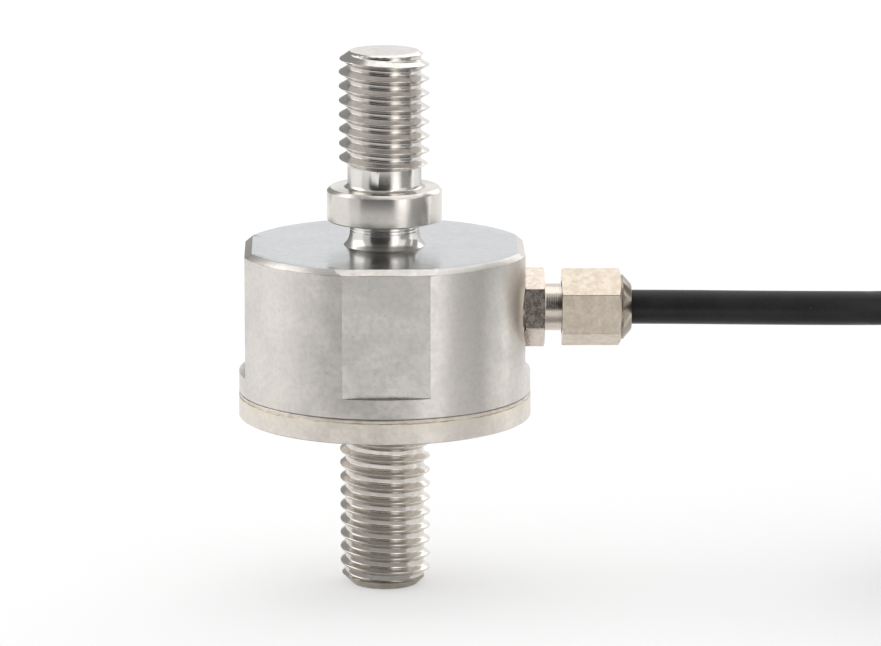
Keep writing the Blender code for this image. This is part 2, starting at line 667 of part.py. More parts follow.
def gland_inner_pieces():
    """Seal sleeve, thrust ring and port seal, and the cable's end inside the gland."""
    gland_ring(
        "gland_seal", SEAL_START, SEAL_END, CABLE_HOLE_RADIUS, GLAND_NECK_RADIUS, RUBBER
    )
    gland_ring(
        "thrust_ring",
        THRUST_RING_START,
        THRUST_RING_START + THRUST_RING_LENGTH,
        CABLE_HOLE_RADIUS,
        GLAND_NECK_RADIUS,
        BRASS,
    )
    section = PORT_SEAL_SECTION / 2
    middle = SPOTFACE_FLOOR - PORT_SEAL_SEAT_DEPTH + CLEARANCE + section
    seal = arc(PORT_RADIUS + section, middle, section, 0, 315, 7)
    turn = Matrix.Translation((0.0, 0.0, GLAND_AXIS)) @ ALONG_X
    turned("port_seal", seal, GLAND_SEGMENTS, RUBBER, closed=True, turn=turn)
    straight = [(THRUST_RING_START, 0.0, GLAND_AXIS), (NUT_NOSE_END, 0.0, GLAND_AXIS)]
    tube("cable_entry", straight, CABLE_RADIUS, JACKET)
    braid = [(BRAID_INNER_END, 0.0, GLAND_AXIS), (GLAND_NECK_END, 0.0, GLAND_AXIS)]
    tube("cable_braid", braid, BRAID_RADIUS, BRAID)


def board_and_parts():
    """The ring board on the spigot, with its trimming and compensation resistors."""
    profile = [
        (BOARD_INNER_RADIUS, BOARD_BOTTOM),
        (BOARD_OUTER_RADIUS, BOARD_BOTTOM),
        (BOARD_OUTER_RADIUS, BOARD_TOP),
        (BOARD_INNER_RADIUS, BOARD_TOP),
    ]
    turned("bridge_board", profile, THREAD_SEGMENTS, BOARD_GREEN, closed=True)
    middle = (BOARD_INNER_RADIUS + BOARD_OUTER_RADIUS) / 2
    spots = {
        "zero_trim_resistor": 90,
        "span_trim_resistor": 155,
        "zero_drift_resistor": 205,
        "span_drift_resistor": 270,
    }
    for name, degrees in spots.items():
        turn = math.radians(degrees)
        centre = (middle * math.cos(turn), middle * math.sin(turn), ON_BOARD + RESISTOR_HEIGHT / 2)
        size = (RESISTOR_WIDTH, RESISTOR_LENGTH, RESISTOR_HEIGHT)
        block(name, size, centre, turn, CHIP)


def gauges_and_wires():
    """Four foil gauges under the diaphragm, each with two wires down to the board."""
    for number in range(4):
        turn = math.radians(45 + 90 * number)
        out = Vector((math.cos(turn), math.sin(turn), 0.0))
        along = Vector((-math.sin(turn), math.cos(turn), 0.0))
        centre = GAUGE_RADIUS * out + (GAUGE_TOP + GAUGE_BOTTOM) / 2 * AXIS_Z
        size = (GAUGE_WIDTH, GAUGE_LENGTH, GAUGE_THICKNESS)
        block(f"strain_gauge_{number + 1}", size, centre, turn, FOIL)
        for side in (-1, 1):
            foot = GAUGE_RADIUS * out + side * GAUGE_WIRE_PITCH / 2 * along
            top_z = GAUGE_BOTTOM - CLEARANCE
            drop = top_z - ON_BOARD
            route = [
                foot + (top_z - drop * share) * AXIS_Z
                + GAUGE_WIRE_BOW * math.sin(math.pi * share) * out
                for share in (0.0, 0.2, 0.4, 0.6, 0.8, 1.0)
            ]
            name = f"gauge_wire_{number + 1}_{'a' if side < 0 else 'b'}"
            tube(name, route, GAUGE_WIRE_RADIUS, ENAMEL, resolution=1)


def inner_cores():
    """The cable's four cores and the braid's drain wire, from the gland to the board."""
    start_x = BRAID_INNER_END - CLEARANCE
    for number, colour in enumerate(LEAD_COLOURS):
        upper = number % 2 == 1
        side = -1 if number < 2 else 1
        start_z = GLAND_AXIS + (CORE_SPREAD if upper else -CORE_SPREAD)
        start = Vector((start_x, side * CORE_SPREAD, start_z))
        inward = 2.2 * CORE_SPREAD if upper else CORE_SPREAD
        foot_x = start_x - 2 * inward
        foot_y = side * (CORE_PAD_PITCH if upper else CORE_PAD_PITCH / 2)
        foot = Vector((foot_x, foot_y, ON_BOARD))
        bend = Vector((foot_x + CORE_SPREAD, side * CORE_SPREAD, start_z - CORE_SPREAD / 2))
        hang = foot.lerp(Vector((foot_x, side * CORE_SPREAD, start_z)), 0.55)
        route = smooth_route([start, bend, hang, foot], 0.7 * MM)
        finish = (f"core_{colour}", LEAD_COLOURS[colour], 0.5, 0.0)
        tube(f"core_{colour}", route, CORE_RADIUS, finish, resolution=1)
    top = GLAND_AXIS - BRAID_RADIUS + DRAIN_RADIUS
    drain = [
        Vector((start_x, 0.0, top)),
        Vector((start_x - CLEARANCE, 0.0, top - 2 * CLEARANCE)),
        Vector((start_x - CLEARANCE, 0.0, ON_BOARD)),
    ]
    tube("drain_wire", smooth_route(drain, 0.7 * MM), DRAIN_RADIUS, BRAID, resolution=1)


def cable_run():
    """The stretch of cable from the gland's nose to where it lies on the hank."""
    start = Vector((NUT_NOSE_END + CLEARANCE, 0.0, GLAND_AXIS))
    knots = [start] + [Vector(p) * MM for p in CABLE_ROUTE]
    tube("cable_run", smooth_route(knots, 5 * CABLE_RADIUS), CABLE_RADIUS, JACKET)


def stadium(shape, half_length, half_width, height):
    """A loop of points with round ends, at a height."""
    ends = half_length - half_width
    loop = []
    for end, sign in ((ends, 1), (-ends, -1)):
        for i in range(HANK_END_SEGMENTS + 1):
            turn = math.pi * (i / HANK_END_SEGMENTS - 0.5)
            x = end + sign * half_width * math.cos(turn)
            y = sign * half_width * math.sin(turn)
            loop.append(shape.verts.new((x, y, height)))
    return loop


def cable_hank():
    """The wound cable as one solid with round ends, notched below for its tie."""
    shape = bmesh.new()
    loops = []
    for inset in (0.0, HANK_RUN_WIDTH):
        half_length = HANK_LENGTH / 2 - inset
        half_width = HANK_WIDTH / 2 - inset
        loops.append(stadium(shape, half_length, half_width, 0.0))
    rims = []
    for loop in loops:
        rims += [shape.edges.new(pair) for pair in zip(loop, loop[1:] + loop[:1])]
    bottom = bmesh.ops.bridge_loops(shape, edges=rims)["faces"]
    pushed = bmesh.ops.extrude_face_region(shape, geom=bottom)
    moved = [v for v in pushed["geom"] if isinstance(v, bmesh.types.BMVert)]
    bmesh.ops.translate(shape, vec=(0.0, 0.0, HANK_HEIGHT), verts=moved)
    bmesh.ops.translate(shape, vec=(hank_middle(), 0.0, 0.0), verts=shape.verts)
    hank = place("cable_hank", mesh_of("cable_hank", shape), JACKET)
    depth = 2 * (TIE_THICKNESS + CLEARANCE)
    size = (TIE_WIDTH + 2 * CLEARANCE, HANK_WIDTH + HANK_RUN_WIDTH, depth)
    notch = block("tie_notch", size, (hank_middle(), 0.0, 0.0), 0.0, JACKET)
    cut(hank, notch)
    return hank


def hank_middle():
    """Where the hank's waist lies along X."""
    return HANK_START + HANK_LENGTH / 2


def cable_tie():
    """The strap round the hank's waist, with its lock on top and its trimmed end."""
    shape = bmesh.new()
    inner_y = HANK_WIDTH / 2 + CLEARANCE
    low, high = TIE_THICKNESS, HANK_HEIGHT + CLEARANCE
    outer_y = inner_y + TIE_THICKNESS
    inner = [(-inner_y, low), (inner_y, low), (inner_y, high), (-inner_y, high)]
    outer = [
        (-outer_y, 0.0),
        (outer_y, 0.0),
        (outer_y, high + TIE_THICKNESS),
        (-outer_y, high + TIE_THICKNESS),
    ]
    rims = []
    for frame in (inner, outer):
        loop = [shape.verts.new((-TIE_WIDTH / 2, y, z)) for y, z in frame]
        rims += [shape.edges.new(pair) for pair in zip(loop, loop[1:] + loop[:1])]
    side = bmesh.ops.bridge_loops(shape, edges=rims)["faces"]
    pushed = bmesh.ops.extrude_face_region(shape, geom=side)
    moved = [v for v in pushed["geom"] if isinstance(v, bmesh.types.BMVert)]
    bmesh.ops.translate(shape, vec=(TIE_WIDTH, 0.0, 0.0), verts=moved)
    bmesh.ops.translate(shape, vec=(hank_middle(), 0.0, 0.0), verts=shape.verts)
    tie = place("cable_tie", mesh_of("cable_tie", shape, smooth=False), TIE_NYLON)
    seat = high + TIE_THICKNESS / 2
    lock_size = (TIE_LOCK_WIDTH, TIE_LOCK_LENGTH, TIE_LOCK_HEIGHT)
    lock_centre = (hank_middle(), -TIE_LOCK_OFFSET, seat + TIE_LOCK_HEIGHT / 2)
    cut(tie, block("tie_lock", lock_size, lock_centre, 0.0, TIE_NYLON), "UNION")
    end_size = (TIE_WIDTH, TIE_THICKNESS, TIE_LOCK_HEIGHT / 2 + TIE_END_LENGTH)
    end_y = TIE_END_OFFSET - TIE_LOCK_OFFSET
    end_centre = (hank_middle(), end_y, seat + TIE_LOCK_HEIGHT + TIE_END_LENGTH - end_size[2] / 2)
    cut(tie, block("tie_end", end_size, end_centre, 0.0, TIE_NYLON), "UNION")
    return tie


def cable_end():
    """The cable's tail on the hank, its shrink sleeve and the four tinned leads."""
    knots = [Vector(p) * MM for p in TAIL_ROUTE]
    tube("cable_tail", smooth_route(knots, 5 * CABLE_RADIUS), CABLE_RADIUS, JACKET)
    way = (knots[-1] - knots[-2]).normalized()
    start = knots[-1] + CLEARANCE * way
    end = start + SLEEVE_LENGTH * way
    tube("cable_end_sleeve", [start, end], SLEEVE_RADIUS, SHRINK)
    side = AXIS_Z.cross(way).normalized()
    root = end + CLEARANCE * way
    for number, (colour, tint) in enumerate(LEAD_COLOURS.items()):
        slot = number - 1.5
        offset = root + slot * 2.2 * LEAD_RADIUS * side * 1.15
        turn = Matrix.Rotation(slot * LEAD_FAN, 3, "Z")
        heading = turn @ way
        shoulder = offset + (LEAD_LENGTH - LEAD_TIP_LENGTH) * heading
        tip = offset + LEAD_LENGTH * heading
        axis_turn = heading.to_track_quat("Z", "Y").to_matrix().to_4x4()
        profile = [
            (0.0, 0.0),
            (LEAD_RADIUS, 0.0),
            (LEAD_RADIUS, (shoulder - offset).length),
            (LEAD_TIP_RADIUS, (shoulder - offset).length),
            (LEAD_TIP_RADIUS, (tip - offset).length),
            (0.0, (tip - offset).length),
        ]
        set_lead = Matrix.Translation(offset) @ axis_turn
        finish = (f"core_{colour}", tint, 0.5, 0.0)
        turned(f"lead_{colour}", profile, LEAD_SEGMENTS, finish, turn=set_lead)


def build():
    """Model every piece of the load cell."""
    clear_scene()
    sensing_body()
    base_plate()
    gland_body()
    gland_nut()
    gland_inner_pieces()
    board_and_parts()
    gauges_and_wires()
    inner_cores()
    cable_run()
    cable_hank()
    cable_tie()
    cable_end()


build()
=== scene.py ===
"""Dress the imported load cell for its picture, in metres, +Z up along the load axis.

The frame gives the solids and their places. The pieces made here stand for those that
show: the turned body and base with their threads, the weld between them, the plated
gland, and the cable at its real length with its hank, tie, sleeve and tinned leads.
"""
import logging
import math
from collections.abc import Callable, Iterator, Sequence
from contextlib import contextmanager
from dataclasses import dataclass
from enum import Enum
from typing import NamedTuple

import bmesh
import bpy
from mathutils import Matrix, Vector


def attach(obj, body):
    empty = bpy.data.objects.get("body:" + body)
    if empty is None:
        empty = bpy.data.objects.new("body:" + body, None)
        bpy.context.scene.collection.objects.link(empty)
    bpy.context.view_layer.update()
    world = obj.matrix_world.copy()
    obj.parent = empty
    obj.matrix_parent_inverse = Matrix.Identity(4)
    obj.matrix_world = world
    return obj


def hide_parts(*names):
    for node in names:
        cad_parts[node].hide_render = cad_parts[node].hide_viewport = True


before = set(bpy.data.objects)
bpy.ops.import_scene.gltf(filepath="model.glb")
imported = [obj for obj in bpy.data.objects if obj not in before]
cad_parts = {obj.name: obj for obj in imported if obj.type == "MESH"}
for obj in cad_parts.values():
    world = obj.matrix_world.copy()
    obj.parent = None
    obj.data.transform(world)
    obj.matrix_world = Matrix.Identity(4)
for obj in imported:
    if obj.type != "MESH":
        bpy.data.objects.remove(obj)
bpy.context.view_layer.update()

LOG = logging.getLogger("load_cell")

MM = 0.001
BODY = "root"
Colour = tuple[float, float, float]
Point = tuple[float, float]
Socket = bpy.types.NodeSocket
Piece = bpy.types.Object

# Steps of a full turn, and the bend that one step of a rounded corner makes.
TURN_STEPS = 192
CORNER_STEP = math.radians(20)
# Points closer than this are one, in metres.
SAME_POINT = 1e-6
# Slack in telling one surface from the next, in millimetres or as part of a direction.
HAIR = 0.01
# How much longer than its cut a tool or a bar is, in millimetres.
SPARE = 1.0
# Faces across a rounded edge.
EDGE_STEPS = 3
# Height of the gland's axis, in millimetres.
GLAND_AXIS = 24.6
# Wrench flats round the body.
FLATS = 4
# Steps between two knots of a curve, before it is spaced evenly.
KNOT_STEPS = 20


# Bench: how pieces are drawn, turned, cut and finished


class Kind(Enum):
    """What an edit-mode selection is made of."""

    VERT = "VERT"
    EDGE = "EDGE"
    FACE = "FACE"


class Join(Enum):
    """How one solid is combined with another."""

    ADD = "UNION"
    KEEP = "INTERSECT"
    CUT = "DIFFERENCE"


class Hand(Enum):
    """Which way a thread winds: its height gained in one turn, in pitches."""

    LEFT = -1
    RIGHT = 1


class Corner(NamedTuple):
    """A corner of an outline in millimetres: distance out, height, and its rounding."""

    out: float
    up: float
    rounding: float = 0.0


def take(piece: Piece) -> None:
    """Make a piece the only selected and active object.

    Args:
        piece: the object that the next operators act on.
    """
    bpy.ops.object.select_all(action="DESELECT")
    piece.select_set(True)
    bpy.context.view_layer.objects.active = piece


@contextmanager
def editing(piece: Piece) -> Iterator[None]:
    """Hold a piece in edit mode, with all of it selected at the start.

    Args:
        piece: the object that is edited.
    """
    take(piece)
    bpy.ops.object.mode_set(mode="EDIT")
    bpy.ops.mesh.select_mode(type=Kind.VERT.value)
    bpy.ops.mesh.select_all(action="SELECT")
    yield
    bpy.ops.object.mode_set(mode="OBJECT")


def middle(element: bmesh.types.BMEdge | bmesh.types.BMFace) -> Vector:
    """Middle of an edge or face of the edited mesh, in millimetres."""
    corners = [vert.co for vert in element.verts]
    return sum(corners, Vector()) / len(corners) / MM


def pick(piece: Piece, kind: Kind, wanted: Callable[[object], bool]) -> int:
    """Select elements of the edited mesh by their place or direction.

    Args:
        piece: the object in edit mode.
        kind: whether vertices, edges or faces are picked.
        wanted: says of an element whether it is selected.

    Returns:
        How many elements were selected.
    """
    bpy.ops.mesh.select_mode(type=kind.value)
    bpy.ops.mesh.select_all(action="DESELECT")
    mesh = bmesh.from_edit_mesh(piece.data)
    elements = {Kind.VERT: mesh.verts, Kind.EDGE: mesh.edges, Kind.FACE: mesh.faces}[kind]
    found = [element for element in elements if wanted(element)]
    for element in found:
        element.select_set(True)
    mesh.select_flush_mode()
    bmesh.update_edit_mesh(piece.data)
    return len(found)


def make_whole() -> None:
    """Merge doubled points of the edited mesh and turn its faces outward."""
    bpy.ops.mesh.select_mode(type=Kind.VERT.value)
    bpy.ops.mesh.select_all(action="SELECT")
    bpy.ops.mesh.remove_doubles(threshold=SAME_POINT)
    bpy.ops.mesh.normals_make_consistent(inside=False)


def rounded(corners: Sequence[Corner]) -> list[Point]:
    """Round the corners between the two ends of an outline.

    Args:
        corners: the outline's corners in order.

    Returns:
        The outline's points, with an arc in place of each corner that is rounded.
    """
    points = [(corners[0].out, corners[0].up)]
    for before, corner, after in zip(corners, corners[1:], corners[2:]):
        here = Vector((corner.out, corner.up))
        if not corner.rounding:
            points.append((here.x, here.y))
            continue
        back = (Vector((before.out, before.up)) - here).normalized()
        ahead = (Vector((after.out, after.up)) - here).normalized()
        half = back.angle(ahead) / 2
        centre = here + (back + ahead).normalized() * corner.rounding / math.sin(half)
        start = here + back * corner.rounding / math.tan(half) - centre
        end = here + ahead * corner.rounding / math.tan(half) - centre
        sweep = math.copysign(math.pi - 2 * half, start.cross(end))
        steps = max(2, round(abs(sweep) / CORNER_STEP))
        for step in range(steps + 1):
            spoke = Matrix.Rotation(sweep * step / steps, 2) @ start
            points.append((centre.x + spoke.x, centre.y + spoke.y))
    points.append((corners[-1].out, corners[-1].up))
    return points


def drawn(name: str, points: Sequence[Vector]) -> Piece:
    """Draw a chain of edges, from a primitive merged to a point and extruded onward.

    Args:
        name: the new object's name.
        points: the chain's points, in metres.

    Returns:
        The new object, in object mode.
    """
    bpy.ops.object.select_all(action="DESELECT")
    bpy.ops.mesh.primitive_plane_add(size=MM)
    piece = bpy.context.object
    piece.name = name
    with editing(piece):
        bpy.ops.mesh.merge(type="CENTER")
        bpy.ops.transform.translate(value=points[0])
        for here, ahead in zip(points, points[1:]):
            bpy.ops.mesh.extrude_vertices_move(TRANSFORM_OT_translate={"value": ahead - here})
    return piece


def turned(
    name: str, corners: Sequence[Corner], ring: bool = False, steps: int = TURN_STEPS
) -> Piece:
    """Turn an outline round Z into a closed solid.

    Args:
        name: the new object's name.
        corners: the outline; both ends lie on the axis unless it is a ring.
        ring: whether the outline is closed on itself instead.
        steps: how many steps make the full turn.

    Returns:
        The new solid.
    """
    points = rounded(corners)
    if ring:
        points.append(points[0])
    piece = drawn(name, [Vector((out * MM, 0.0, up * MM)) for out, up in points])
    with editing(piece):
        bpy.ops.mesh.spin(steps=steps, angle=math.tau, center=(0, 0, 0), axis=(0, 0, 1))
        make_whole()
    return piece


def prism(name: str, corners: Sequence[Corner], width: float) -> Piece:
    """Extrude an outline in the XZ plane to both sides along Y.

    Args:
        name: the new object's name.
        corners: the closed outline's corners, out along X and up along Z.
        width: the length along Y, in millimetres.

    Returns:
        The new solid.
    """
    points = rounded(corners)
    side = [Vector((out * MM, -width / 2 * MM, up * MM)) for out, up in points]
    piece = drawn(name, side)
    with editing(piece):
        bpy.ops.mesh.edge_face_add()
        push = {"value": (0.0, width * MM, 0.0)}
        bpy.ops.mesh.extrude_region_move(TRANSFORM_OT_translate=push)
        make_whole()
    return piece


def combine(piece: Piece, tool: Piece, join: Join) -> None:
    """Add, keep or cut a tool solid, which is used up.

    Args:
        piece: the solid that is changed.
        tool: the solid that it is combined with.
        join: how the two are combined.
    """
    take(piece)
    bpy.ops.object.modifier_add(type="BOOLEAN")
    modifier = piece.modifiers[-1]
    modifier.operation = join.value
    modifier.solver = "EXACT"
    modifier.object = tool
    bpy.ops.object.modifier_apply(modifier=modifier.name)
    bpy.data.objects.remove(tool, do_unlink=True)


def copied(piece: Piece, name: str) -> Piece:
    """Copy a piece with a mesh of its own.

    Args:
        piece: the object that is copied.
        name: the copy's name.

    Returns:
        The copy.
    """
    take(piece)
    bpy.ops.object.duplicate(linked=False)
    copy = bpy.context.object
    copy.name = name
    return copy


def settle(piece: Piece) -> None:
    """Fix a piece's place in its mesh, so that its object sits untransformed at the origin."""
    take(piece)
    bpy.ops.object.transform_apply(location=True, rotation=True, scale=True)


def lay_along_gland(piece: Piece, turn: float = 0.0) -> None:
    """Lay a piece that was made on Z along the gland's axis, +Z to +X.

    Args:
        piece: the object that is laid down.
        turn: its turn round the gland's axis, in radians.
    """
    piece.matrix_world = (
        Matrix.Translation((0.0, 0.0, GLAND_AXIS * MM))
        @ Matrix.Rotation(turn, 4, "X")
        @ Matrix.Rotation(math.pi / 2, 4, "Y")
        @ piece.matrix_world
    )
    settle(piece)


def smooth_faces(piece: Piece, sharp_degrees: float = 32.0) -> None:
    """Shade a piece smooth between its sharp edges, with its broad faces left flat.

    Args:
        piece: the object that is shaded.
        sharp_degrees: edges that bend by more than this stay sharp.
    """
    take(piece)
    bpy.ops.object.shade_smooth_by_angle(angle=math.radians(sharp_degrees))
    bpy.ops.object.modifier_add(type="WEIGHTED_NORMAL")
    modifier = piece.modifiers[-1]
    modifier.keep_sharp = True
    bpy.ops.object.modifier_apply(modifier=modifier.name)


# Finishes: node groups that several materials share, and the materials themselves


class Tree:
    """A node tree with short calls that add nodes and wire them."""

    def __init__(self, tree: bpy.types.NodeTree) -> None:
        """Work on a material's, group's or world's node tree."""
        self.tree = tree

    def node(self, kind: str, **settings: object) -> bpy.types.Node:
        """Add a node.

        Args:
            kind: the node's type name after ShaderNode.
            settings: its properties.

        Returns:
            The new node.
        """
        made = self.tree.nodes.new("ShaderNode" + kind)
        for name, value in settings.items():
            setattr(made, name, value)
        return made

    def feed(self, target: Socket, value: object) -> None:
        """Wire a socket to another, or set its value.

        Args:
            target: the input socket.
            value: an output socket, or a plain value.
        """
        if isinstance(value, Socket):
            self.tree.links.new(value, target)
        else:
            target.default_value = value

    def fed(self, kind: str, *values: object, **settings: object) -> bpy.types.Node:
        """Add a node and feed its inputs.

        Args:
            kind: the node's type name after ShaderNode.
            values: what its inputs are fed, in order.
            settings: its properties.

        Returns:
            The new node.
        """
        made = self.node(kind, **settings)
        for target, value in zip(made.inputs, values):
            self.feed(target, value)
        return made

    def math(self, operation: str, *values: object, clamp: bool = False) -> Socket:
        """Work out a number, kept from 0 to 1 where it is clamped."""
        return self.fed("Math", *values, operation=operation, use_clamp=clamp).outputs[0]

    def vector(self, operation: str, *values: object) -> Socket:
        """Work out a vector."""
        return self.fed("VectorMath", *values, operation=operation).outputs[0]

    def ramp(
        self, value: Socket, low: float, high: float, start: float = 0.0, end: float = 1.0
    ) -> Socket:
        """Map a value from one range onto another with soft ends, and clamp it.

        Args:
            value: what is mapped.
            low: the value that gives start.
            high: the value that gives end.
            start: the result at low.
            end: the result at high.

        Returns:
            The mapped value.
        """
        numbers = (value, low, high, start, end)
        return self.fed("MapRange", *numbers, interpolation_type="SMOOTHSTEP").outputs[0]

    def mix(self, share: Socket, one: object, other: object) -> Socket:
        """Mix two colours.

        Args:
            share: how much of the second shows, from 0 to 1.
            one: the first colour or its socket.
            other: the second colour or its socket.

        Returns:
            The mixed colour.
        """
        made = self.node("Mix", data_type="RGBA")
        self.feed(made.inputs["Factor"], share)
        colours = [socket for socket in made.inputs if socket.type == "RGBA"]
        for target, colour in zip(colours, (one, other)):
            self.feed(target, (*colour, 1.0) if isinstance(colour, tuple) else colour)
        return next(socket for socket in made.outputs if socket.type == "RGBA")

    def noise(
        self, vector: Socket, scale: object, detail: float = 2.0, roughness: float = 0.5
    ) -> Socket:
        """Add a Noise texture.

        Args:
            vector: where it is read.
            scale: features for each unit of the vector.
            detail: how many finer layers it has.
            roughness: how strong they are.

        Returns:
            Its value, about 0.5 on average.
        """
        made = self.node("TexNoise")
        self.feed(made.inputs["Vector"], vector)
        self.feed(made.inputs["Scale"], scale)
        made.inputs["Detail"].default_value = detail
        made.inputs["Roughness"].default_value = roughness
        return made.outputs[0]

    def parts(self, vector: Socket) -> dict[str, Socket]:
        """Take a vector apart into its X, Y and Z, by name."""
        return dict(self.fed("SeparateXYZ", vector).outputs.items())

    def joined(self, *values: object) -> Socket:
        """Put a vector together from its X, Y and Z, of which one that is left out is 0."""
        return self.fed("CombineXYZ", *values).outputs[0]

    def length(self, vector: Socket) -> Socket:
        """Measure a vector's length."""
        return self.fed("VectorMath", vector, operation="LENGTH").outputs["Value"]

    def bump(self, height: Socket, depth: float) -> Socket:
        """Roughen the surface by a height.

        Args:
            height: the height, as a share of the depth.
            depth: how deep the marks go, in millimetres.

        Returns:
            The tilted normal.
        """
        made = self.node("Bump")
        made.inputs["Strength"].default_value = 1.0
        made.inputs["Distance"].default_value = depth * MM
        self.feed(made.inputs["Height"], height)
        return made.outputs[0]

    def place(self) -> Socket:
        """Object coordinates in millimetres."""
        coordinates = self.node("TexCoord").outputs["Object"]
        return self.vector("MULTIPLY", coordinates, (1 / MM, 1 / MM, 1 / MM))

    def apply(self, effect: "Effect", *values: object) -> dict[str, Socket]:
        """Place a shared effect.

        Args:
            effect: the effect.
            values: what its inputs are fed, in order.

        Returns:
            Its outputs by name.
        """
        return dict(self.fed("Group", *values, node_tree=effect.group()).outputs.items())


class Effect:
    """A shader node group with named sockets, built on its first use."""

    name: str
    takes: dict[str, str]
    gives: tuple[str, ...]

    def group(self) -> bpy.types.NodeTree:
        """The node group.

        Returns:
            The group, built if no material has used it yet.
        """
        if self.name in bpy.data.node_groups:
            return bpy.data.node_groups[self.name]
        made = bpy.data.node_groups.new(self.name, "ShaderNodeTree")
        for name, kind in self.takes.items():
            made.interface.new_socket(name=name, in_out="INPUT", socket_type="NodeSocket" + kind)
        for name in self.gives:
            made.interface.new_socket(name=name, in_out="OUTPUT", socket_type="NodeSocketFloat")
        tree = Tree(made)
        inputs = made.nodes.new("NodeGroupInput")
        outputs = made.nodes.new("NodeGroupOutput")
        results = self.wire(tree, {socket.name: socket for socket in inputs.outputs})
        for name, result in results.items():
            tree.feed(outputs.inputs[name], result)
        return made

    def wire(self, tree: Tree, given: dict[str, Socket]) -> dict[str, Socket]:
        """Wire the group's inside.

        Args:
            tree: the group's tree.
            given: the group's inputs by name.

        Returns:
            What each output is fed, by name.
        """
        raise NotImplementedError


class ToolMarks(Effect):
    """Fine lines that a lathe or mill leaves, level or round the Z axis."""

    name = "tool_marks"
    takes = {"Place": "Vector", "Per mm": "Float", "Facing": "Float"}
    gives = ("Height",)
    # How often a line changes along its length, in one millimetre.
    per_mm_along = 0.11

    def wire(self, tree: Tree, given: dict[str, Socket]) -> dict[str, Socket]:
        """Read noise that is drawn out along the lines.

        Args:
            tree: the group's tree.
            given: the group's inputs by name.

        Returns:
            The marks' height, from 0 to 1.
        """
        parts = tree.parts(given["Place"])
        reach = tree.length(tree.joined(parts["X"], parts["Y"]))
        across = tree.math("ADD", parts["Z"], tree.math("MULTIPLY", reach, given["Facing"]))
        slow = [tree.math("MULTIPLY", parts[name], self.per_mm_along) for name in "XY"]
        fast = tree.math("MULTIPLY", across, given["Per mm"])
        return {"Height": tree.noise(tree.joined(*slow, fast), 1.0, detail=3.0, roughness=0.6)}


class Clouding(Effect):
    """Broad soft patches, as handling and cleaning leave on metal and plastic."""

    name = "clouding"
    takes = {"Place": "Vector", "Size": "Float"}
    gives = ("Mask",)
    # Noise at which a patch starts, and at which it is full.
    edges = (0.36, 0.66)

    def wire(self, tree: Tree, given: dict[str, Socket]) -> dict[str, Socket]:
        """Read broad noise and steepen it into a mask from 0 to 1."""
        scale = tree.math("DIVIDE", 1.0, given["Size"])
        return {"Mask": tree.ramp(tree.noise(given["Place"], scale, detail=4.0), *self.edges)}


class Specks(Effect):
    """Scattered small spots: pits in metal or dust on plastic."""

    name = "specks"
    takes = {"Place": "Vector", "Spacing": "Float", "Share": "Float", "Width": "Float"}
    gives = ("Mask",)

    def wire(self, tree: Tree, given: dict[str, Socket]) -> dict[str, Socket]:
        """Keep a share of the cells of a Voronoi texture and spot their middles.

        Args:
            tree: the group's tree.
            given: the group's inputs by name.

        Returns:
            The spots' mask, from 0 to 1.
        """
        cells = tree.node("TexVoronoi")
        tree.feed(cells.inputs["Vector"], given["Place"])
        tree.feed(cells.inputs["Scale"], tree.math("DIVIDE", 1.0, given["Spacing"]))
        chance = tree.parts(cells.outputs["Color"])["X"]
        kept = tree.math("LESS_THAN", chance, given["Share"])
        edge = tree.math("DIVIDE", given["Width"], given["Spacing"])
        away = tree.math("DIVIDE", cells.outputs["Distance"], edge)
        near = tree.math("SUBTRACT", 1.0, away, clamp=True)
        return {"Mask": tree.math("MULTIPLY", kept, near)}


class HeatLine(Effect):
    """The straw tint beside a weld and the wavy brown line that ends it."""

    name = "heat_line"
    takes = {"Place": "Vector", "Level": "Float", "Width": "Float"}
    gives = ("Line", "Straw")
    # Broad and fine wandering: waves in one millimetre, their detail, and how far in line widths.
    wandering = ((0.9, 1.0, 2.0), (4.5, 2.0, 1.6))
    # How far below the line the straw tint reaches, and where it ends above, in millimetres.
    straw_reach = 0.9
    straw_end = 0.1

    def wire(self, tree: Tree, given: dict[str, Socket]) -> dict[str, Socket]:
        """Follow a height that wanders round the part.

        Args:
            tree: the group's tree.
            given: the group's inputs by name.

        Returns:
            The line's mask and the straw tint's mask, from 0 to 1.
        """
        place, width = given["Place"], given["Width"]
        waves = []
        for per_mm, detail, swing in self.wandering:
            wave = tree.math("SUBTRACT", tree.noise(place, per_mm, detail=detail), 0.5)
            waves.append(tree.math("MULTIPLY", wave, swing))
        wander = tree.math("MULTIPLY", tree.math("ADD", *waves), width)
        middle_line = tree.math("ADD", given["Level"], wander)
        above = tree.math("SUBTRACT", tree.parts(place)["Z"], middle_line)
        away = tree.math("DIVIDE", tree.math("ABSOLUTE", above), width)
        thin = tree.ramp(away, 0.3, 1.2, 1.0, 0.0)
        strength = tree.ramp(tree.noise(place, 0.6, detail=3.0), 0.38, 0.62, 0.1, 1.0)
        rising = tree.ramp(above, -self.straw_reach, 0.0)
        straw = tree.math("MULTIPLY", rising, tree.ramp(above, 0.0, self.straw_end, 1.0, 0.0))
        return {"Line": tree.math("MULTIPLY", thin, strength), "Straw": straw}


class Grain(Enum):
    """Which way a metal's tool marks lie."""

    TURNED = "round the load axis"
    GLAND = "round the gland's axis"
    MILLED = "level lines"


def new_material(name: str) -> tuple[bpy.types.Material, Tree, bpy.types.Node]:
    """Start a material.

    Args:
        name: its name.

    Returns:
        The material, its tree and its Principled node.
    """
    made = bpy.data.materials.new(name)
    made.use_nodes = True
    return made, Tree(made.node_tree), made.node_tree.nodes["Principled BSDF"]


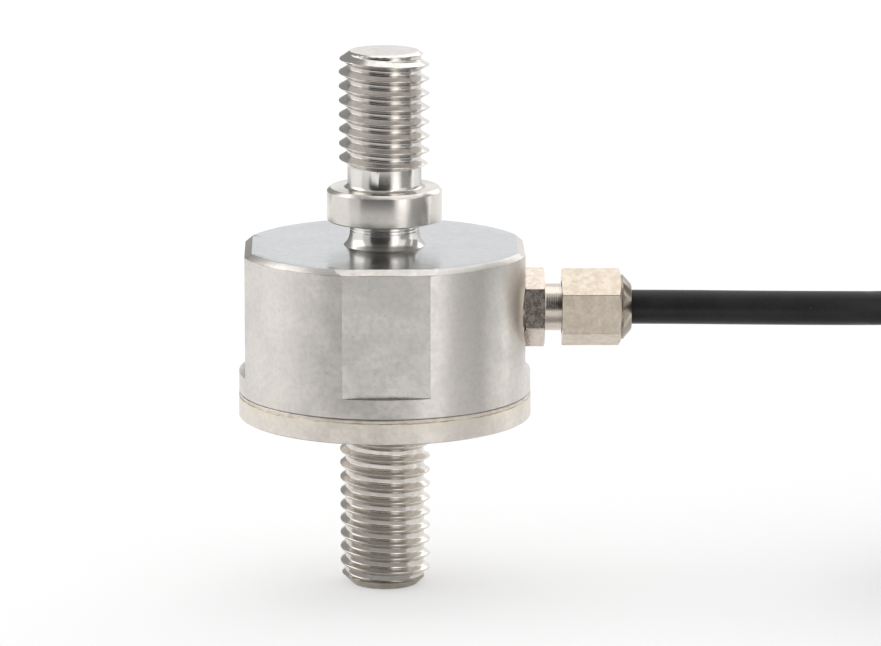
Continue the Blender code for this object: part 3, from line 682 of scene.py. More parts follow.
class Stain(NamedTuple):
    """What lies on a metal: its colour, how much it covers, and its width in millimetres."""

    colour: Colour
    cover: float
    width: float = 0.0

    def laid(self, tree: Tree, mask: Socket, under: Socket) -> Socket:
        """Lay the stain over the colour under it, where the mask is 1."""
        return tree.mix(tree.math("MULTIPLY", mask, self.cover), under, self.colour)


PIT_STAIN = Stain((0.16, 0.13, 0.10), 0.55)
# A thin dark wavy line, laid at the heights that a metal gives.
DARK_LINE_STAIN = Stain((0.20, 0.14, 0.10), 0.6, width=0.03)
STRAW_TINT = Stain((0.80, 0.72, 0.58), 0.5)
BROWN_TINT = Stain((0.30, 0.21, 0.14), 0.75, width=0.07)
# How close the lines on a faced surface lie, to those on a turned side.
FACING_SHARE = 1.37


@dataclass(frozen=True)
class Finish:
    """A surface: its two colours and its roughness, with one material for all that wear it."""

    name: str
    colour: Colour
    clouded: Colour
    roughness: float

    def material(self) -> bpy.types.Material:
        """The finish's material.

        Returns:
            The material, made on its first use.
        """
        name = f"{self.name}_finish"
        if name not in bpy.data.materials:
            _, tree, shader = new_material(name)
            self.shade(tree, shader)
        return bpy.data.materials[name]

    def shade(self, tree: Tree, shader: bpy.types.Node) -> None:
        """Wire the material.

        Args:
            tree: the material's tree.
            shader: its Principled node.
        """
        raise NotImplementedError


@dataclass(frozen=True)
class Metal(Finish):
    """A machined or plated metal, with tool marks, clouding, pits and a drawn-out highlight."""

    swing: float = 0.06
    stretch: float = 0.0
    grain: Grain = Grain.TURNED
    marks_per_mm: float = 9.0
    marks_depth: float = 0.0012
    cloud_size: float = 3.0
    pit_share: float = 0.05
    pit_width: float = 0.07
    pit_spacing: float = 0.45
    mottle: float = 0.35
    mottle_per_mm: float = 2.2
    mottle_shade: float = 0.8
    rim_tint: float = 1.0
    heat_level: float = 0.0
    dark_line_levels: tuple[float, ...] = ()

    def shade(self, tree: Tree, shader: bpy.types.Node) -> None:
        """Wire the material.

        Args:
            tree: the material's tree.
            shader: its Principled node.
        """
        place = tree.place()
        marks = self.marks(tree, place)
        cloud = tree.apply(Clouding(), place, self.cloud_size)["Mask"]
        pits = tree.apply(Specks(), place, self.pit_spacing, self.pit_share, self.pit_width)["Mask"]
        fine = tree.noise(place, self.mottle_per_mm, detail=5.0, roughness=0.65)
        fine = tree.ramp(fine, 0.35, 0.68)
        colour = tree.mix(cloud, self.colour, self.clouded)
        dull = tuple(value * self.mottle_shade for value in self.clouded)
        colour = tree.mix(tree.math("MULTIPLY", fine, self.mottle), colour, dull)
        colour = PIT_STAIN.laid(tree, pits, colour)
        # Darker along a thin wavy line at each of these heights.
        for level in self.dark_line_levels:
            dark_line = tree.apply(HeatLine(), place, level, DARK_LINE_STAIN.width)["Line"]
            colour = DARK_LINE_STAIN.laid(tree, dark_line, colour)
        if self.heat_level:
            colour = self.heated(tree, place, colour)
        tree.feed(shader.inputs["Base Color"], colour)
        shader.inputs["Metallic"].default_value = 1.0
        tint = self.rim_tint
        shader.inputs["Specular Tint"].default_value = (tint, tint, tint, 1.0)
        half = self.swing / 2
        rough = tree.ramp(marks, 0.3, 0.7, self.roughness - half, self.roughness + half)
        for mask in (cloud, fine):
            rough = tree.math("ADD", rough, tree.math("MULTIPLY", mask, self.swing))
        tree.feed(shader.inputs["Roughness"], rough)
        height = tree.math("SUBTRACT", marks, pits)
        tree.feed(shader.inputs["Normal"], tree.bump(height, self.marks_depth))
        if self.stretch:
            shader.inputs["Anisotropic"].default_value = self.stretch
            tree.feed(shader.inputs["Tangent"], self.across_marks(tree))

    def marks(self, tree: Tree, place: Socket) -> Socket:
        """Height of the tool marks.

        Args:
            tree: the material's tree.
            place: object coordinates in millimetres.

        Returns:
            The height, from 0 to 1.
        """
        facing = 0.0 if self.grain is Grain.MILLED else FACING_SHARE
        if self.grain is Grain.GLAND:
            parts = tree.parts(tree.vector("SUBTRACT", place, (0.0, 0.0, GLAND_AXIS)))
            place = tree.joined(parts["Y"], parts["Z"], parts["X"])
        return tree.apply(ToolMarks(), place, self.marks_per_mm, facing)["Height"]

    def across_marks(self, tree: Tree) -> Socket:
        """Direction across the tool marks, along which a highlight is drawn out.

        Args:
            tree: the material's tree.

        Returns:
            The direction.
        """
        if self.grain is Grain.MILLED:
            return tree.joined(0.0, 0.0, 1.0)
        axis = (0.0, 0.0, 1.0) if self.grain is Grain.TURNED else (1.0, 0.0, 0.0)
        spot = tree.node("TexCoord").outputs["Object"]
        if self.grain is Grain.GLAND:
            spot = tree.vector("SUBTRACT", spot, (0.0, 0.0, GLAND_AXIS * MM))
        round_axis = tree.vector("CROSS_PRODUCT", axis, spot)
        facing = tree.node("NewGeometry").outputs["Normal"]
        return tree.vector("NORMALIZE", tree.vector("CROSS_PRODUCT", round_axis, facing))

    def heated(self, tree: Tree, place: Socket, colour: Socket) -> Socket:
        """Lay the weld's heat tint over the metal's colour.

        Args:
            tree: the material's tree.
            place: object coordinates in millimetres.
            colour: the metal's own colour.

        Returns:
            The tinted colour.
        """
        heat = tree.apply(HeatLine(), place, self.heat_level, BROWN_TINT.width)
        return BROWN_TINT.laid(tree, heat["Line"], STRAW_TINT.laid(tree, heat["Straw"], colour))


@dataclass(frozen=True)
class Plastic(Finish):
    """A plastic, rubber or lacquer, with fine grain, clouding and dust."""

    grain_size: float = 0.12
    grain_depth: float = 0.004
    cloud_size: float = 2.5
    swing: float = 0.06
    dust_share: float = 0.0
    dust_spacing: float = 0.5
    dust_width: float = 0.06
    dust_colour: Colour = (0.35, 0.34, 0.33)
    specular: float = 0.5

    def shade(self, tree: Tree, shader: bpy.types.Node) -> None:
        """Wire the material.

        Args:
            tree: the material's tree.
            shader: its Principled node.
        """
        place = tree.place()
        cloud = tree.apply(Clouding(), place, self.cloud_size)["Mask"]
        dust = tree.apply(Specks(), place, self.dust_spacing, self.dust_share, self.dust_width)["Mask"]
        colour = tree.mix(cloud, self.colour, self.clouded)
        tree.feed(shader.inputs["Base Color"], tree.mix(dust, colour, self.dust_colour))
        shader.inputs["Specular IOR Level"].default_value = self.specular
        grain = tree.noise(place, 1 / self.grain_size, detail=3.0, roughness=0.6)
        smoothest, roughest = self.roughness - self.swing, self.roughness + self.swing
        tree.feed(shader.inputs["Roughness"], tree.ramp(grain, 0.3, 0.7, smoothest, roughest))
        height = tree.math("ADD", grain, dust)
        tree.feed(shader.inputs["Normal"], tree.bump(height, self.grain_depth))


# Steels of the body and base, from bright to satin.
WALL_STEEL = Metal(
    "turned_wall", (0.735, 0.695, 0.648), (0.68, 0.65, 0.618), 0.31, stretch=0.72, cloud_size=3.0,
    marks_depth=0.002, pit_share=0.14, dark_line_levels=(29.76,),
)
FLAT_STEEL = Metal(
    "milled_flat", (0.76, 0.73, 0.685), (0.715, 0.69, 0.655), 0.30, stretch=0.3,
    grain=Grain.MILLED, marks_per_mm=3.5, marks_depth=0.004, cloud_size=2.5, pit_share=0.14,
    dark_line_levels=(29.74, 19.13),
)
TOP_STEEL = Metal(
    "lapped_top", (0.545, 0.56, 0.58), (0.53, 0.545, 0.56), 0.17, swing=0.03, marks_depth=0.0003,
    marks_per_mm=14.0, cloud_size=6.0, pit_share=0.03,
)
NECK_STEEL = Metal(
    "burnished_neck", (0.78, 0.76, 0.72), (0.75, 0.72, 0.68), 0.17, swing=0.03, marks_depth=0.0006,
    marks_per_mm=5.0, pit_share=0.03, mottle=0.1, rim_tint=0.65,
)
COLLAR_STEEL = Metal(
    "turned_collar", (0.73, 0.69, 0.64), (0.70, 0.67, 0.63), 0.23, swing=0.02, stretch=0.6,
    marks_per_mm=6.0, marks_depth=0.0008, cloud_size=2.0, pit_share=0.03, mottle=0.2,
)
CUT_THREAD_STEEL = Metal(
    "cut_thread", (0.70, 0.67, 0.635), (0.65, 0.62, 0.585), 0.16, swing=0.05, marks_depth=0.0008,
    marks_per_mm=16.0, cloud_size=1.2, pit_share=0.10,
)
ROLLED_THREAD_STEEL = Metal(
    "rolled_thread", (0.76, 0.72, 0.665), (0.70, 0.66, 0.61), 0.16, swing=0.05, marks_depth=0.0006,
    marks_per_mm=5.0, cloud_size=1.6, pit_share=0.10,
)
# A darker copy of the base's steel for the lower stud's end chamfer: painted shade, for the shaded
# floor that it mirrors.
SHADED_STUD_END_STEEL = Metal(
    "stud_end", (0.40, 0.365, 0.31), (0.33, 0.30, 0.25), 0.28, marks_per_mm=8.0, cloud_size=1.0,
    pit_share=0.14,
)
RIM_STEEL = Metal(
    "turned_rim", (0.80, 0.745, 0.685), (0.75, 0.70, 0.64), 0.31, stretch=0.15, marks_per_mm=8.0,
    cloud_size=2.2, pit_share=0.14, heat_level=17.03,
)
WELD_STEEL = Metal(
    "weld_bead", (0.78, 0.72, 0.64), (0.68, 0.62, 0.54), 0.38, marks_per_mm=3.0, marks_depth=0.004,
    cloud_size=0.8, pit_share=0.12,
)
INSIDE_STEEL = Metal(
    "bored_inside", (0.62, 0.59, 0.56), (0.58, 0.55, 0.52), 0.38, marks_per_mm=6.0, marks_depth=0.003
)
NICKEL_HEX = Metal(
    "nickel_hexagon", (0.685, 0.605, 0.51), (0.62, 0.54, 0.44), 0.32, marks_per_mm=6.0,
    grain=Grain.GLAND, marks_depth=0.003, cloud_size=0.7, pit_share=0.22, mottle_per_mm=4.0,
)
NICKEL_BODY = Metal(
    "nickel_body", (0.70, 0.62, 0.55), (0.63, 0.55, 0.48), 0.20, marks_per_mm=6.0,
    grain=Grain.GLAND, marks_depth=0.003, cloud_size=0.5, pit_share=0.04, mottle=0.2,
    mottle_per_mm=4.0,
)
NICKEL_TURNED = Metal(
    "nickel_turned", (0.69, 0.625, 0.545), (0.65, 0.58, 0.50), 0.20, swing=0.04, marks_per_mm=10.0,
    grain=Grain.GLAND, marks_depth=0.001, cloud_size=1.0, pit_share=0.04, mottle=0.15,
)
# The nut's nickel, darkened for its conical nose: painted shade.
SHADED_NICKEL_NOSE = Metal(
    "nickel_nose_painted_shade", (0.37, 0.325, 0.275), (0.33, 0.285, 0.235), 0.15, swing=0.04, marks_per_mm=10.0,
    grain=Grain.GLAND, marks_depth=0.001, cloud_size=1.0, pit_share=0.08,
)
BRASS_RING = Metal("turned_brass", (0.78, 0.58, 0.28), (0.72, 0.50, 0.22), 0.30, grain=Grain.GLAND)
TINNED_STRANDS = Metal(
    "tinned_strands", (0.72, 0.72, 0.71), (0.62, 0.61, 0.58), 0.38, marks_per_mm=4.0,
    marks_depth=0.03, cloud_size=0.4,
)
JACKET = Plastic(
    "cable_jacket", (0.012, 0.012, 0.0125), (0.017, 0.017, 0.018), 0.32, dust_share=0.06,
    specular=0.20,
)
SEAL_RUBBER = Plastic("seal_rubber", (0.018, 0.018, 0.018), (0.028, 0.027, 0.026), 0.78)
TIE_NYLON = Plastic("tie_nylon", (0.020, 0.020, 0.021), (0.032, 0.032, 0.034), 0.45, grain_size=0.3)
SHRINK = Plastic("shrink_sleeve", (0.018, 0.018, 0.019), (0.030, 0.030, 0.032), 0.52, cloud_size=1.5)
LAMINATE = Plastic(
    "board_laminate", (0.03, 0.17, 0.07), (0.05, 0.24, 0.10), 0.42, grain_size=0.25, cloud_size=0.8
)
RESISTOR = Plastic("resistor_glaze", (0.03, 0.03, 0.035), (0.06, 0.06, 0.065), 0.30, cloud_size=0.6)
GAUGE_FILM = Plastic(
    "gauge_film", (0.62, 0.34, 0.10), (0.74, 0.47, 0.20), 0.32, grain_size=0.15, cloud_size=0.5
)
ENAMEL = Plastic("wire_enamel", (0.50, 0.17, 0.06), (0.60, 0.25, 0.10), 0.28, cloud_size=0.6)
CORE_INSULATION = {
    "red": Plastic("core_red", (0.52, 0.02, 0.015), (0.60, 0.04, 0.03), 0.42, cloud_size=1.0),
    "black": Plastic("core_black", (0.02, 0.02, 0.02), (0.035, 0.035, 0.035), 0.42, cloud_size=1.0),
    "green": Plastic("core_green", (0.02, 0.26, 0.07), (0.03, 0.33, 0.10), 0.42, cloud_size=1.0),
    "white": Plastic("core_white", (0.78, 0.78, 0.75), (0.70, 0.70, 0.67), 0.42, cloud_size=1.0),
}


def dress(
    piece: Piece,
    finishes: Sequence[Finish],
    region: Callable[[Vector, Vector], Finish] | None = None,
) -> None:
    """Give a piece its finishes, by the place and direction of its faces.

    Args:
        piece: the object that is dressed.
        finishes: its finishes in order.
        region: says which finish a face has, of its middle in millimetres and its normal.
    """
    piece.data.materials.clear()
    for finish in finishes:
        piece.data.materials.append(finish.material())
    if region is None:
        return
    places = {finish.name: place for place, finish in enumerate(finishes)}
    for face in piece.data.polygons:
        face.material_index = places[region(face.center / MM, face.normal).name]


def deliver(piece: Piece, slot: str, *nodes: str) -> None:
    """Set a finished piece on the frame and report it.

    Args:
        piece: the finished object.
        slot: the record's material slot of the piece; not used.
        nodes: the solids that it stands for.
    """
    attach(piece, BODY)
    if nodes:
        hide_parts(*nodes)
    faces = len(piece.data.polygons) if piece.type == "MESH" else 0
    LOG.info("%s: %d faces, stands for %s", piece.name, faces, ", ".join(nodes) or "no solid")


# The sub-assemblies


def across(outline: Sequence[Point], height: float) -> float:
    """Distance out of an outline at a height.

    Args:
        outline: its points of distance out and height, upward.
        height: the height that is looked up.

    Returns:
        The distance, between two points or at the nearer end.
    """
    for (out, up), (next_out, next_up) in zip(outline, outline[1:]):
        if height <= next_up:
            share = max(0.0, (height - up) / (next_up - up)) if next_up > up else 0.0
            return out + (next_out - out) * share
    return outline[-1][0]


@dataclass(frozen=True)
class Thread:
    """A one-start thread: its form over one pitch, and where its crest passes."""

    crest: float
    root: float
    crest_flat: float
    crest_rounding: float
    root_rounding: float
    crest_height: float
    pitch: float = 1.25
    hand: Hand = Hand.LEFT
    half_angle: float = math.radians(30)
    rows: int = 32
    spare_turns: int = 3

    def form(self) -> list[Point]:
        """Outline of one pitch, from the middle of a crest to the next one up.

        Returns:
            Points of distance out and height, in millimetres.
        """
        flank = (self.crest - self.root) * math.tan(self.half_angle)
        half = self.crest_flat / 2
        return rounded([
            Corner(self.crest, 0.0),
            Corner(self.crest, half, self.crest_rounding),
            Corner(self.root, half + flank, self.root_rounding),
            Corner(self.root, self.pitch - half - flank, self.root_rounding),
            Corner(self.crest, self.pitch - half, self.crest_rounding),
            Corner(self.crest, self.pitch),
        ])

    def winding(self, name: str, foot: float, top: float) -> Piece:
        """The thread's bare surface, wound past both ends of a stud.

        Args:
            name: the new object's name.
            foot: height of the stud's lower end, in millimetres.
            top: height of its upper end.

        Returns:
            The open surface.
        """
        turns = math.ceil((top - foot) / self.pitch) + self.spare_turns
        rise = self.hand.value * self.pitch
        if self.hand is Hand.LEFT:
            passed = math.ceil((top - self.seam) / self.pitch)
        else:
            passed = math.floor((foot - self.seam) / self.pitch) - 1
        start = self.seam + self.pitch * passed
        form = self.form()
        points = []
        for row in range(self.rows + 1):
            up = self.pitch * row / self.rows
            points.append(Vector((across(form, up) * MM, 0.0, (start + up) * MM)))
        piece = drawn(name, points)
        take(piece)
        bpy.ops.object.modifier_add(type="SCREW")
        modifier = piece.modifiers[-1]
        modifier.angle = math.tau
        modifier.screw_offset = rise * MM
        modifier.iterations = turns
        modifier.steps = TURN_STEPS
        modifier.render_steps = TURN_STEPS
        bpy.ops.object.modifier_apply(modifier=modifier.name)
        return piece

    @property
    def seam(self) -> float:
        """Height of a crest towards +X, half a turn from where crest_height is given."""
        return self.crest_height + self.pitch / 2

    def stud(self, name: str, envelope: Sequence[Corner], cap: float) -> Piece:
        """A threaded stud, kept inside an envelope that gives its chamfer and run-out.

        Args:
            name: the new object's name.
            envelope: the outline that the thread is kept inside, upward.
            cap: height of the end that is closed; the other stays open for its root.

        Returns:
            The new surface.
        """
        limit = rounded(envelope)
        foot, top = limit[0][1], limit[-1][1]
        row = self.pitch / self.rows
        rings = [foot]
        for _, up in limit:
            if up - rings[-1] >= row and top - up >= row:
                rings.append(up)
        rings.append(top)
        form = self.form()
        piece = self.winding(name, foot, top)
        for vert in piece.data.vertices:
            up = min(top, max(foot, vert.co.z / MM))
            up = next((ring for ring in rings if abs(up - ring) <= row / 2), up)
            turn = math.atan2(vert.co.y, vert.co.x)
            out = across(limit, up)
            if foot < up < top:
                crest = self.seam + self.hand.value * self.pitch * turn / math.tau
                out = min(out, across(form, (up - crest) % self.pitch))
            vert.co = Vector((out * math.cos(turn), out * math.sin(turn), up)) * MM

        def at_cap(edge: bmesh.types.BMEdge) -> bool:
            """Tell the open edges at the end that is closed."""
            return edge.is_boundary and abs(middle(edge).z - cap) < row / 4

        with editing(piece):
            bpy.ops.mesh.remove_doubles(threshold=SAME_POINT)
            pick(piece, Kind.EDGE, at_cap)
            bpy.ops.mesh.edge_face_add()
        return piece


def graft(piece: Piece, stud: Piece, height: float, reach: float) -> None:
    """Join a stud to a turned piece, in place of the flat end that carries it.

    Args:
        piece: the turned piece.
        stud: the threaded stud, open at its root.
        height: height of the flat end, in millimetres.
        reach: radius of the flat end.
    """
    def on_end(face: bmesh.types.BMFace) -> bool:
        """Tell the flat end's faces."""
        spot = face.calc_center_median() / MM
        return abs(spot.z - height) < HAIR and math.hypot(spot.x, spot.y) < reach

    with editing(piece):
        pick(piece, Kind.FACE, on_end)
        bpy.ops.mesh.delete(type="FACE")
    take(piece)
    stud.select_set(True)
    bpy.ops.object.join()
    with editing(piece):
        make_whole()


@dataclass(frozen=True)
class SensingBody:
    """The body turned from one bar: wall, diaphragm, neck, collar and upper stud."""

    radius: float = 12.7
    top: float = 30.2
    foot: float = 17.35
    top_chamfer: float = 0.44
    flat_chamfer: float = 0.64
    foot_chamfer: float = 0.09
    cavity: float = 10.4
    ceiling: float = 27.6
    hub: float = 4.2
    hub_bottom: float = 21.5
    cavity_fillet: float = 0.6
    neck: float = 3.0
    flare: tuple[Corner, ...] = (Corner(3.0, 31.25, 2.0), Corner(3.15, 30.62, 1.1))
    neck_foot: float = 3.54
    groove_heights: tuple[float, ...] = (32.02, 31.72, 31.42)
    groove_depth: float = 0.03
    groove_half_width: float = 0.07
    collar: float = 5.0
    collar_bottom: float = 32.4
    collar_top: float = 35.3
    collar_chamfer: float = 0.3
    collar_foot_chamfer: float = 0.12
    relief: float = 3.2
    relief_fillet: float = 0.35
    thread_foot: float = 37.1
    run_out: float = 0.34
    stud_end: float = 47.2
    end_radius: float = 3.0
    end_chamfer: float = 0.68
    flat_distance: float = 12.13
    flat_turn: float = math.radians(0.62)
    flat_ledge: float = 19.1
    edge: float = 0.035
    # Level ring beside the neck's foot; the next one lies four times as far inside the flats.
    margin: float = 0.25
    spotface: float = 4.4
    spotface_floor: float = 11.9
    seal_seat: float = 2.9
    seal_seat_floor: float = 11.0
    port: float = 2.15
    thread: Thread = Thread(
        crest=3.93,
        root=3.20,
        crest_flat=0.07,
        crest_rounding=0.03,
        root_rounding=0.11,
        crest_height=45.37,
    )

    FINISHES = (
        WALL_STEEL, FLAT_STEEL, TOP_STEEL, NECK_STEEL, COLLAR_STEEL, CUT_THREAD_STEEL, INSIDE_STEEL,
    )

    def outline(self) -> list[Corner]:
        """Outline of the body below its thread, from the axis round to the axis.

        Returns:
            The outline's corners.
        """
        outline = [
            Corner(0.0, self.thread_foot),
            Corner(self.relief, self.thread_foot),
            Corner(self.relief, self.collar_top, self.relief_fillet),
            Corner(self.collar - self.collar_chamfer, self.collar_top, self.edge),
            Corner(self.collar, self.collar_top - self.collar_chamfer, self.edge),
            Corner(self.collar, self.collar_bottom + self.collar_foot_chamfer, self.edge),
            Corner(self.collar - self.collar_foot_chamfer, self.collar_bottom, self.edge),
            Corner(self.neck, self.collar_bottom, 0.2),
        ]
        for height in self.groove_heights:
            outline += [
                Corner(self.neck, height + self.groove_half_width),
                Corner(self.neck - self.groove_depth, height, self.edge),
                Corner(self.neck, height - self.groove_half_width),
            ]
        outline += [
            *self.flare,
            Corner(self.neck_foot, self.top),
            Corner(self.neck_foot + self.margin, self.top),
            Corner(self.flat_distance - 4 * self.margin, self.top),
            Corner(self.radius - self.top_chamfer, self.top, self.edge),
            Corner(self.radius, self.top - self.top_chamfer, self.edge),
            Corner(self.radius, self.foot + self.foot_chamfer, self.edge),
            Corner(self.radius - self.foot_chamfer, self.foot, self.edge),
            Corner(self.cavity, self.foot),
            Corner(self.cavity, self.ceiling, self.cavity_fillet),
            Corner(self.hub, self.ceiling, self.cavity_fillet),
            Corner(self.hub, self.hub_bottom),
            Corner(0.0, self.hub_bottom),
        ]
        return outline

    def envelope(self) -> list[Corner]:
        """Envelope of the upper stud: its run-out, sides and end chamfer.

        Returns:
            The envelope's corners.
        """
        return [
            Corner(self.relief, self.thread_foot),
            Corner(self.thread.crest, self.thread_foot + self.run_out),
            Corner(self.thread.crest, self.stud_end - self.end_chamfer),
            Corner(self.end_radius + 0.04, self.stud_end - 0.05),
            Corner(self.end_radius - 0.02, self.stud_end),
        ]

    def cut_flats(self, body: Piece) -> None:
        """Mill the four wrench flats, each with the top edge's chamfer.

        Args:
            body: the turned body.
        """
        outside = self.radius + 3 * SPARE
        above = self.top + self.top_chamfer
        mill = prism("mill", [
            Corner(self.flat_distance, self.flat_ledge),
            Corner(outside, self.flat_ledge),
            Corner(outside, above),
            Corner(self.flat_distance - 2 * self.flat_chamfer, above),
            Corner(self.flat_distance, self.top - self.top_chamfer),
        ], self.radius)
        for quarter in range(FLATS):
            tool = copied(mill, f"mill_{quarter}")
            tool.rotation_euler.z = quarter * math.tau / FLATS + self.flat_turn
            settle(tool)
            combine(body, tool, Join.CUT)
        bpy.data.objects.remove(mill, do_unlink=True)

    def cut_port(self, body: Piece) -> None:
        """Cut the spotface, the seal's seat and the port for the gland.

        Args:
            body: the milled body.
        """
        drill = turned("port_drill", [
            Corner(0.0, self.hub + SPARE),
            Corner(self.port, self.hub + SPARE),
            Corner(self.port, self.seal_seat_floor),
            Corner(self.seal_seat, self.seal_seat_floor),
            Corner(self.seal_seat, self.spotface_floor),
            Corner(self.spotface, self.spotface_floor),
            Corner(self.spotface, self.radius + SPARE),
            Corner(0.0, self.radius + SPARE),
        ])
        lay_along_gland(drill)
        combine(body, drill, Join.CUT)

    def region(self, spot: Vector, facing: Vector) -> Metal:
        """Say which finish a face of the body has.

        Args:
            spot: the face's middle, in millimetres.
            facing: its normal.

        Returns:
            The finish, one of FINISHES.
        """
        reach = math.hypot(spot.x, spot.y)
        port_start = self.seal_seat_floor - 10 * HAIR
        if spot.z > self.thread_foot - HAIR:
            return CUT_THREAD_STEEL
        if reach < port_start and spot.z < self.ceiling + 10 * HAIR:
            return INSIDE_STEEL
        if spot.z > self.collar_bottom - HAIR:
            return COLLAR_STEEL if reach > self.relief + self.relief_fillet else NECK_STEEL
        if spot.z > self.top - HAIR:
            return TOP_STEEL if reach > self.neck_foot else NECK_STEEL
        return FLAT_STEEL if self.in_flat(spot, facing) else WALL_STEEL

    def in_flat(self, spot: Vector, facing: Vector) -> bool:
        """Whether a face with this middle and normal lies in one of the wrench flats."""
        return abs(facing.z) < HAIR and abs(spot.dot(facing) - self.flat_distance) < 2 * HAIR

    def make(self) -> None:
        """Turn, thread, mill, drill and dress the body."""
        body = turned("turned_body", self.outline())
        self.cut_flats(body)
        self.cut_port(body)
        stud = self.thread.stud("upper_stud", self.envelope(), cap=self.stud_end)
        graft(body, stud, self.thread_foot, self.relief)
        with editing(body):
            pick(body, Kind.EDGE, self.bounds_a_flat)
            bpy.ops.mesh.mark_sharp()
        smooth_faces(body)
        dress(body, self.FINISHES, self.region)
        deliver(body, "body_steel", "sensing_body")

    def bounds_a_flat(self, edge: bmesh.types.BMEdge) -> bool:
        """Whether an edge borders a wrench flat, so that just one of its faces lies in it."""
        return sum(self.in_flat(middle(face), face.normal) for face in edge.link_faces) == 1


@dataclass(frozen=True)
class BasePlate:
    """The welded-in base: its rim, spigot, overload stop and the lower stud."""

    radius: float = 12.73
    bottom: float = 15.2
    rim_top: float = 17.1
    rim_chamfer: float = 0.06
    spigot: float = 10.15
    spigot_top: float = 18.9
    spigot_inner: float = 9.15
    floor: float = 17.9
    stop: float = 3.4
    stop_top: float = 21.2
    relief: float = 3.42
    relief_fillet: float = 0.6
    thread_top: float = 14.2
    run_out: float = 0.34
    end_radius: float = 2.9
    end_chamfer: float = 1.05
    # Below this height the stud's end wears painted shade.
    painted_shade_end: float = 0.84
    rim_width: float = 0.2
    edge: float = 0.035
    thread: Thread = Thread(
        crest=3.94,
        root=3.40,
        crest_flat=0.13,
        crest_rounding=0.08,
        root_rounding=0.14,
        crest_height=0.76,
    )

    FINISHES = (RIM_STEEL, ROLLED_THREAD_STEEL, INSIDE_STEEL, SHADED_STUD_END_STEEL)

    def outline(self) -> list[Corner]:
        """Outline of the base above its thread, from the axis round to the axis.

        Returns:
            The outline's corners.
        """
        return [
            Corner(0.0, self.thread_top),
            Corner(self.relief, self.thread_top),
            Corner(self.relief, self.bottom, self.relief_fillet),
            Corner(self.radius - self.rim_chamfer, self.bottom, self.edge),
            Corner(self.radius, self.bottom + self.rim_chamfer, self.edge),
            Corner(self.radius, self.rim_top - self.rim_chamfer, self.edge),
            Corner(self.radius - self.rim_chamfer, self.rim_top, self.edge),
            Corner(self.spigot, self.rim_top),
            Corner(self.spigot, self.spigot_top),
            Corner(self.spigot_inner, self.spigot_top),
            Corner(self.spigot_inner, self.floor),
            Corner(self.stop, self.floor),
            Corner(self.stop, self.stop_top),
            Corner(0.0, self.stop_top),
        ]

    def envelope(self) -> list[Corner]:
        """Envelope of the lower stud: its end chamfer, sides and run-out.

        Returns:
            The envelope's corners.
        """
        return [
            Corner(self.end_radius - 0.04, 0.0),
            Corner(self.end_radius + 0.02, 0.05),
            Corner(self.thread.crest, self.end_chamfer, 0.12),
            Corner(self.thread.crest, self.thread_top - self.run_out),
            Corner(self.relief, self.thread_top),
        ]

    def region(self, spot: Vector, facing: Vector) -> Metal:
        """Say which finish a face of the base has.

        Args:
            spot: the face's middle, in millimetres.
            facing: its normal, which makes no difference here.

        Returns:
            The finish, one of FINISHES.
        """
        # The end chamfer takes the darker steel: painted shade.
        if spot.z < self.painted_shade_end:
            return SHADED_STUD_END_STEEL
        if spot.z < self.thread_top + 10 * HAIR:
            return ROLLED_THREAD_STEEL
        inside = math.hypot(spot.x, spot.y) < self.radius - self.rim_width
        return INSIDE_STEEL if inside and spot.z > self.rim_top - HAIR else RIM_STEEL

    def make(self) -> None:
        """Turn, thread and dress the base."""
        base = turned("turned_base", self.outline())
        stud = self.thread.stud("lower_stud", self.envelope(), cap=0.0)
        graft(base, stud, self.thread_top, self.relief)
        smooth_faces(base)
        dress(base, self.FINISHES, self.region)
        deliver(base, "base_steel", "base_plate")


@dataclass(frozen=True)
class WeldSeam:
    """The weld bead between the body's foot and the base's rim."""

    inner: float = 12.42
    outer: float = 12.70
    low: float = 17.03
    high: float = 17.335
    rounding: float = 0.06
    ripple: float = 0.022
    ripple_size: float = 0.55
    steps: int = 360

    def make(self) -> None:
        """Turn the bead, ripple it and dress it."""
        low, high = self.low, self.high
        bead = turned("weld_bead", [
            Corner(self.inner, low),
            Corner(self.outer, low, self.rounding),
            Corner(self.outer, high, self.rounding),
            Corner(self.inner, high),
        ], ring=True, steps=self.steps)
        pattern = bpy.data.textures.new("weld_ripple", "CLOUDS")
        pattern.noise_scale = self.ripple_size * MM
        take(bead)
        bpy.ops.object.modifier_add(type="DISPLACE")
        modifier = bead.modifiers[-1]
        modifier.texture = pattern
        modifier.texture_coords = "LOCAL"
        modifier.strength = self.ripple * MM
        bpy.ops.object.modifier_apply(modifier=modifier.name)
        smooth_faces(bead, sharp_degrees=60.0)
        dress(bead, (WELD_STEEL,))
        deliver(bead, "base_steel")


